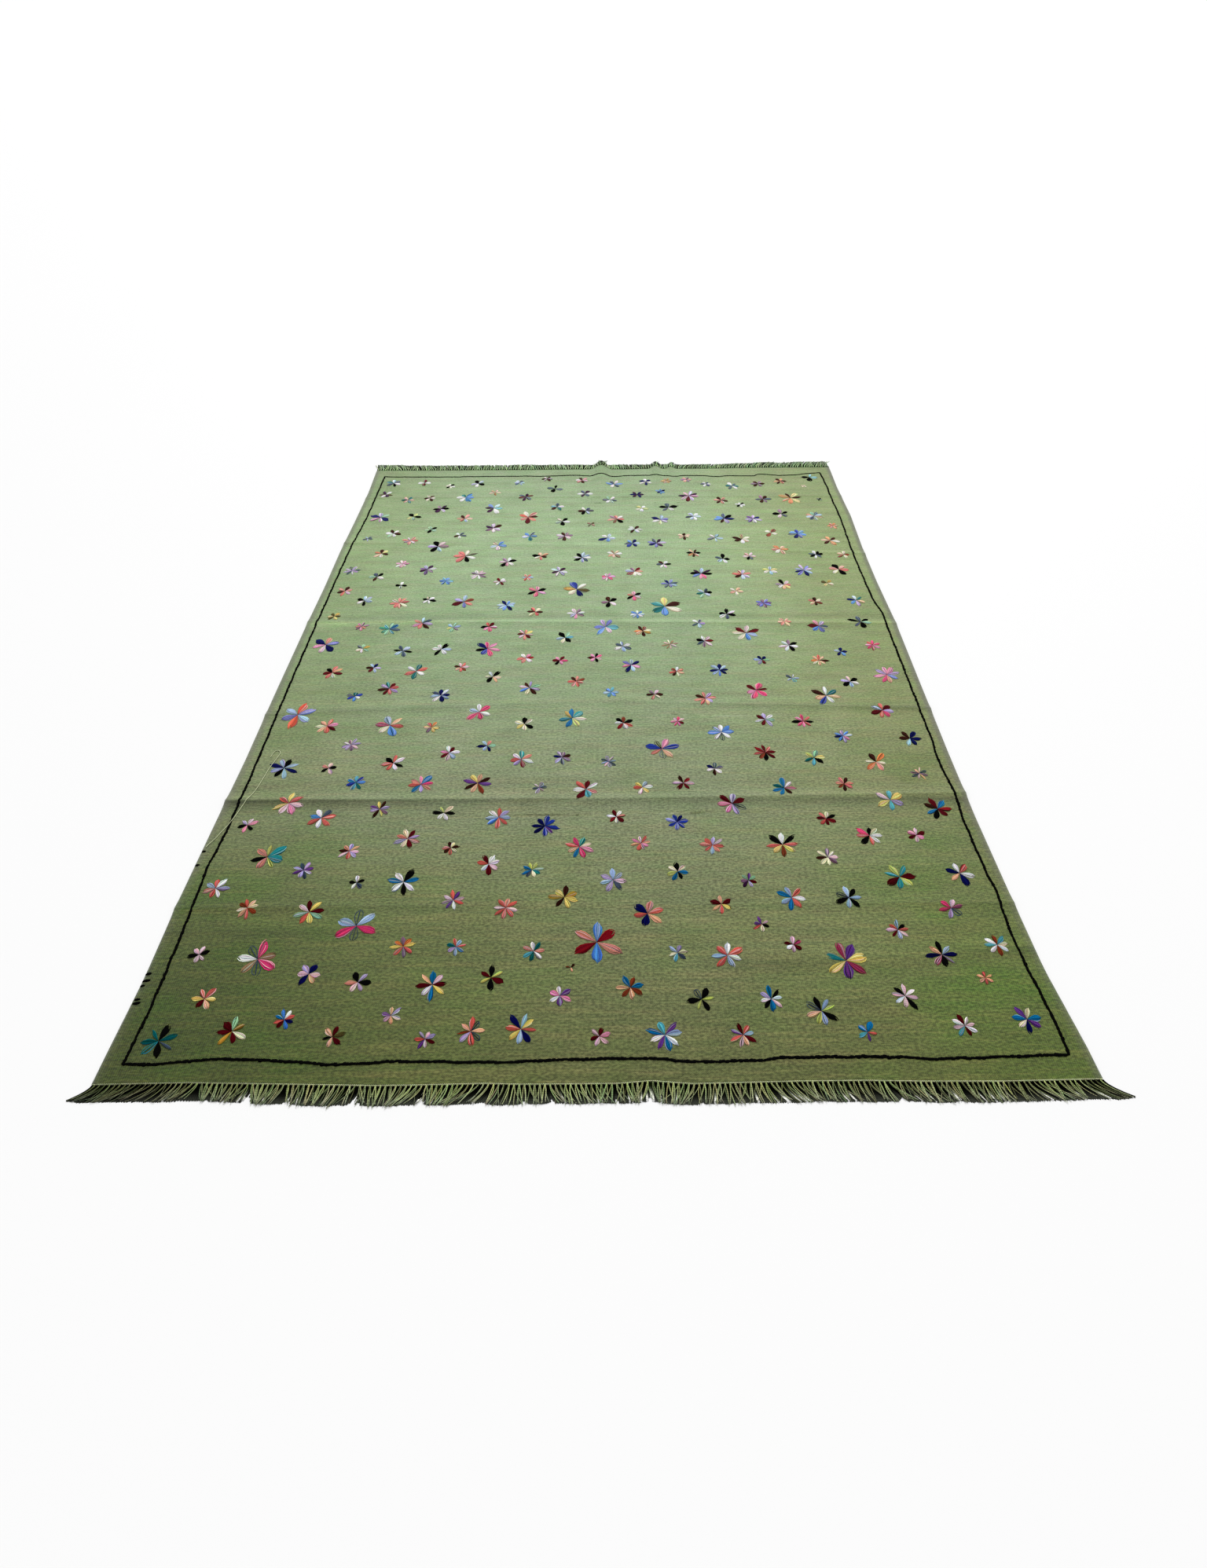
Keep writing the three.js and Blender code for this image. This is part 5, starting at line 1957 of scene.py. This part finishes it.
    def daylight(self, along: Array, colours: Array) -> Array:
        """Paint the light of each place into the yarns: dimmer near flowers, lighter far ones.

        A yarn goes a share of the way to its own grey, a painted sheen, and is then made lighter
        or darker.
        Near yarns are also deepened, by a power of their grey.

        Args:
            along: Where the petals are along the rug.
            colours: Their linear colours.

        Returns:
            The colours as they look in the light there.
        """
        place, light, painted_sheen_grey, power = np.array(self.painted_light_by_place).T
        grey = colours.mean(axis=1, keepdims=True)
        painted_sheen_grey = np.interp(along, place, painted_sheen_grey)[:, None]
        deep = grey ** (np.interp(along, place, power)[:, None] - 1)
        dimmed = deep * np.interp(along, place, light)[:, None]
        return (colours + painted_sheen_grey * (grey - colours)) * dimmed

    def satin(self, petals: Array, colours: Array, stitch_width: float) -> Surface:
        """Fill petals with lengthwise stitches.

        A stitch runs from the flower's middle to the tip at its own share of the petal's
        width. The width grows and falls as a sine of a power of the way, the swell, which is
        broadest at seven tenths, and the petal is crowned as a half circle across it. An
        open petal has only fine stitches, one along each side and one in the middle.

        Args:
            petals: The petals, as the method petals gives them.
            colours: Their linear colours.
            stitch_width: How wide a stitch is.

        Returns:
            The surface with the stitches on it.
        """
        count = np.clip(np.round(petals[:, 4] / stitch_width), 2, 9).astype(int)
        count[petals[:, 5] > 0] = 3
        owner = np.repeat(np.arange(len(petals)), count)
        first = np.repeat(np.cumsum(count) - count, count)
        share = (2 * (np.arange(len(owner)) - first) + 1) / count[owner] - 1
        across, along, angle, length, width, is_open = petals[owner].T[:, :, None]
        share = share[:, None] * (1 + 0.5 * is_open)
        way = np.array(self.stations)
        outline = np.sin(np.pi * way ** self.swell) ** self.bluntness
        ragged = 1 + self.ragged * self.rng.standard_normal((len(owner), 1)) * way
        forward = length * way * ragged
        bend = self.bend * self.rng.standard_normal((len(petals), 1))[owner] * length * way ** 2
        aside = share * width / 2 * outline + bend
        place_x = across + forward * np.cos(angle) - aside * np.sin(angle)
        place_y = along + forward * np.sin(angle) + aside * np.cos(angle)
        half = width / 2 * outline / count[owner][:, None] * self.overlap + self.spare
        half = np.where(is_open > 0, self.outline_half, half)
        crown = np.sqrt(np.clip(1 - share ** 2, 0, 1)) * np.sin(np.pi * way) ** 0.7
        rise = self.sunk + self.lowest_rise * (0.4 + 0.6 * outline) + self.crown_rise * crown
        base = CLOTH.top(place_x, place_y) - self.sunk
        centres = np.stack([place_x, place_y, base], axis=-1)
        depth = self.heart_shade + (1 - self.heart_shade) * smooth_step(0.0, 0.35, way)
        colours = self.daylight(petals[:, 1], colours)
        # Painted sheen: some stitches of the lighter yarns are drawn paler
        light = colours[owner].mean(axis=1) > self.dark_limit
        pale = self.rng.random(len(owner)) < self.sheen_stitch_share * light
        yarn = colours[owner] + (self.sheen_stitch_mix * (self.pale - colours[owner])) * pale[:, None]
        shades = vary(yarn, self.stitch_shade, self.rng)[:, None] * depth[:, None]
        surface = Surface()
        Strands(centres, half, rise, shades).sew(surface, STITCH_SECTION)
        return surface

    def build(self) -> list[bpy.types.Object]:
        """Make the flowers, in four pieces, one behind the other.

        Each of the quarters has its name, its first and last place along, and the width of
        its stitches, which is greater farther away.

        Returns:
            The finished pieces.
        """
        blooms = read_chart(NEAR_CHART) + read_chart(FAR_CHART)
        LOG.info("%d charted flowers", len(blooms))
        blooms += self.fillers(blooms)
        LOG.info("%d flowers with the fillers", len(blooms))
        petals, colours = self.petals(blooms)
        material = PliedWool("embroidery_wool", ply_pitch=0.0032, mottle=0.3,
                             roughness=0.75).material()
        pieces = []
        for name, low, high, stitch_width in self.quarters:
            inside = (petals[:, 1] >= low) & (petals[:, 1] < high)
            surface = self.satin(petals[inside], colours[inside], stitch_width)
            piece = surface.piece(f"{name}_flowers", material)
            pieces.append(piece)
        return pieces


@dataclass
class Studio:
    """The camera at the photograph's angle, a pale floor and soft light."""

    camera_place: tuple[float, float, float] = (0.0500, -2.0880, 1.5601)
    pitch_down: float = 45.591
    roll: float = -0.601
    frame_height: int = 1996
    focal_pixels: float = 1014.8
    centre_offset_pixels: float = 18.8
    sensor: float = 36.0
    floor_half: float = 200.0
    floor_colour: tuple[float, float, float, float] = (0.86, 0.86, 0.86, 1.0)
    sky: float = 0.66
    window: float = 2.7
    window_breadth: float = 30.0
    window_aim: tuple[float, float, float] = (-0.4, -4.0, -2.6)

    def set_camera(self) -> None:
        """Place the camera: tilted down, level but for a slight roll, and shifted sideways."""
        pitch = math.radians(self.pitch_down)
        roll = math.radians(self.roll)
        right = Vector((1.0, 0.0, 0.0))
        up = Vector((0.0, math.sin(pitch), math.cos(pitch)))
        back = Vector((0.0, -math.cos(pitch), math.sin(pitch)))
        side = math.cos(roll) * right + math.sin(roll) * up
        head = math.cos(roll) * up - math.sin(roll) * right
        lens = bpy.data.cameras.new("camera")
        lens.sensor_width = self.sensor
        lens.lens = self.focal_pixels / self.frame_height * self.sensor
        lens.shift_x = -self.centre_offset_pixels / self.frame_height
        lens.clip_end = 2 * self.floor_half
        camera = bpy.data.objects.new("camera", lens)
        turn = Matrix((side, head, back)).transposed().to_4x4()
        place = Vector(self.camera_place) + Vector(SHIFT)
        camera.matrix_world = Matrix.Translation(place) @ turn
        bpy.context.scene.collection.objects.link(camera)
        bpy.context.scene.camera = camera

    def lay_floor(self) -> None:
        """Lay the plain pale floor."""
        bench = Bench("pale_floor")
        bench.shader.inputs["Base Color"].default_value = self.floor_colour
        bench.shader.inputs["Roughness"].default_value = 0.8
        half = self.floor_half
        mesh = bpy.data.meshes.new("floor")
        corners = [(-half, -half, 0), (half, -half, 0), (half, half, 0), (-half, half, 0)]
        mesh.from_pydata(corners, [], [(0, 1, 2, 3)])
        mesh.materials.append(bench.material)
        floor = bpy.data.objects.new("floor", mesh)
        bpy.context.scene.collection.objects.link(floor)

    def light(self) -> None:
        """Soft light from all round, and a broad window's light from beyond the far end."""
        world = bpy.data.worlds.new("studio")
        world.use_nodes = True
        world.node_tree.nodes["Background"].inputs["Color"].default_value = (1, 1, 1, 1)
        world.node_tree.nodes["Background"].inputs["Strength"].default_value = self.sky
        bpy.context.scene.world = world
        lamp = bpy.data.lights.new("window", "SUN")
        lamp.energy = self.window
        lamp.angle = math.radians(self.window_breadth)
        thing = bpy.data.objects.new("window", lamp)
        towards = Vector(self.window_aim)
        thing.matrix_world = towards.to_track_quat("-Z", "Y").to_matrix().to_4x4()
        bpy.context.scene.collection.objects.link(thing)
        bpy.context.scene.view_settings.view_transform = "Standard"


def main() -> None:
    """Build the scene in order and report each piece."""
    logging.basicConfig(level=logging.INFO, format="%(message)s")
    studio = Studio()
    studio.set_camera()
    LooseYarn().build()
    cloth = GroundCloth().build()
    near = Fringe("near", NEAR_CLUMPS, NEAR_PARTINGS, NEAR_FRINGE_DYE_AND_SHADE, seed=21).build()
    far = Fringe("far", FAR_CLUMPS, (), FAR_FRINGE_DYE_AND_SHADE, seed=22).build()
    border = BorderLine().build()
    flowers = Embroidery().build()
    studio.lay_floor()
    studio.light()


if __name__ == "__main__":
    main()
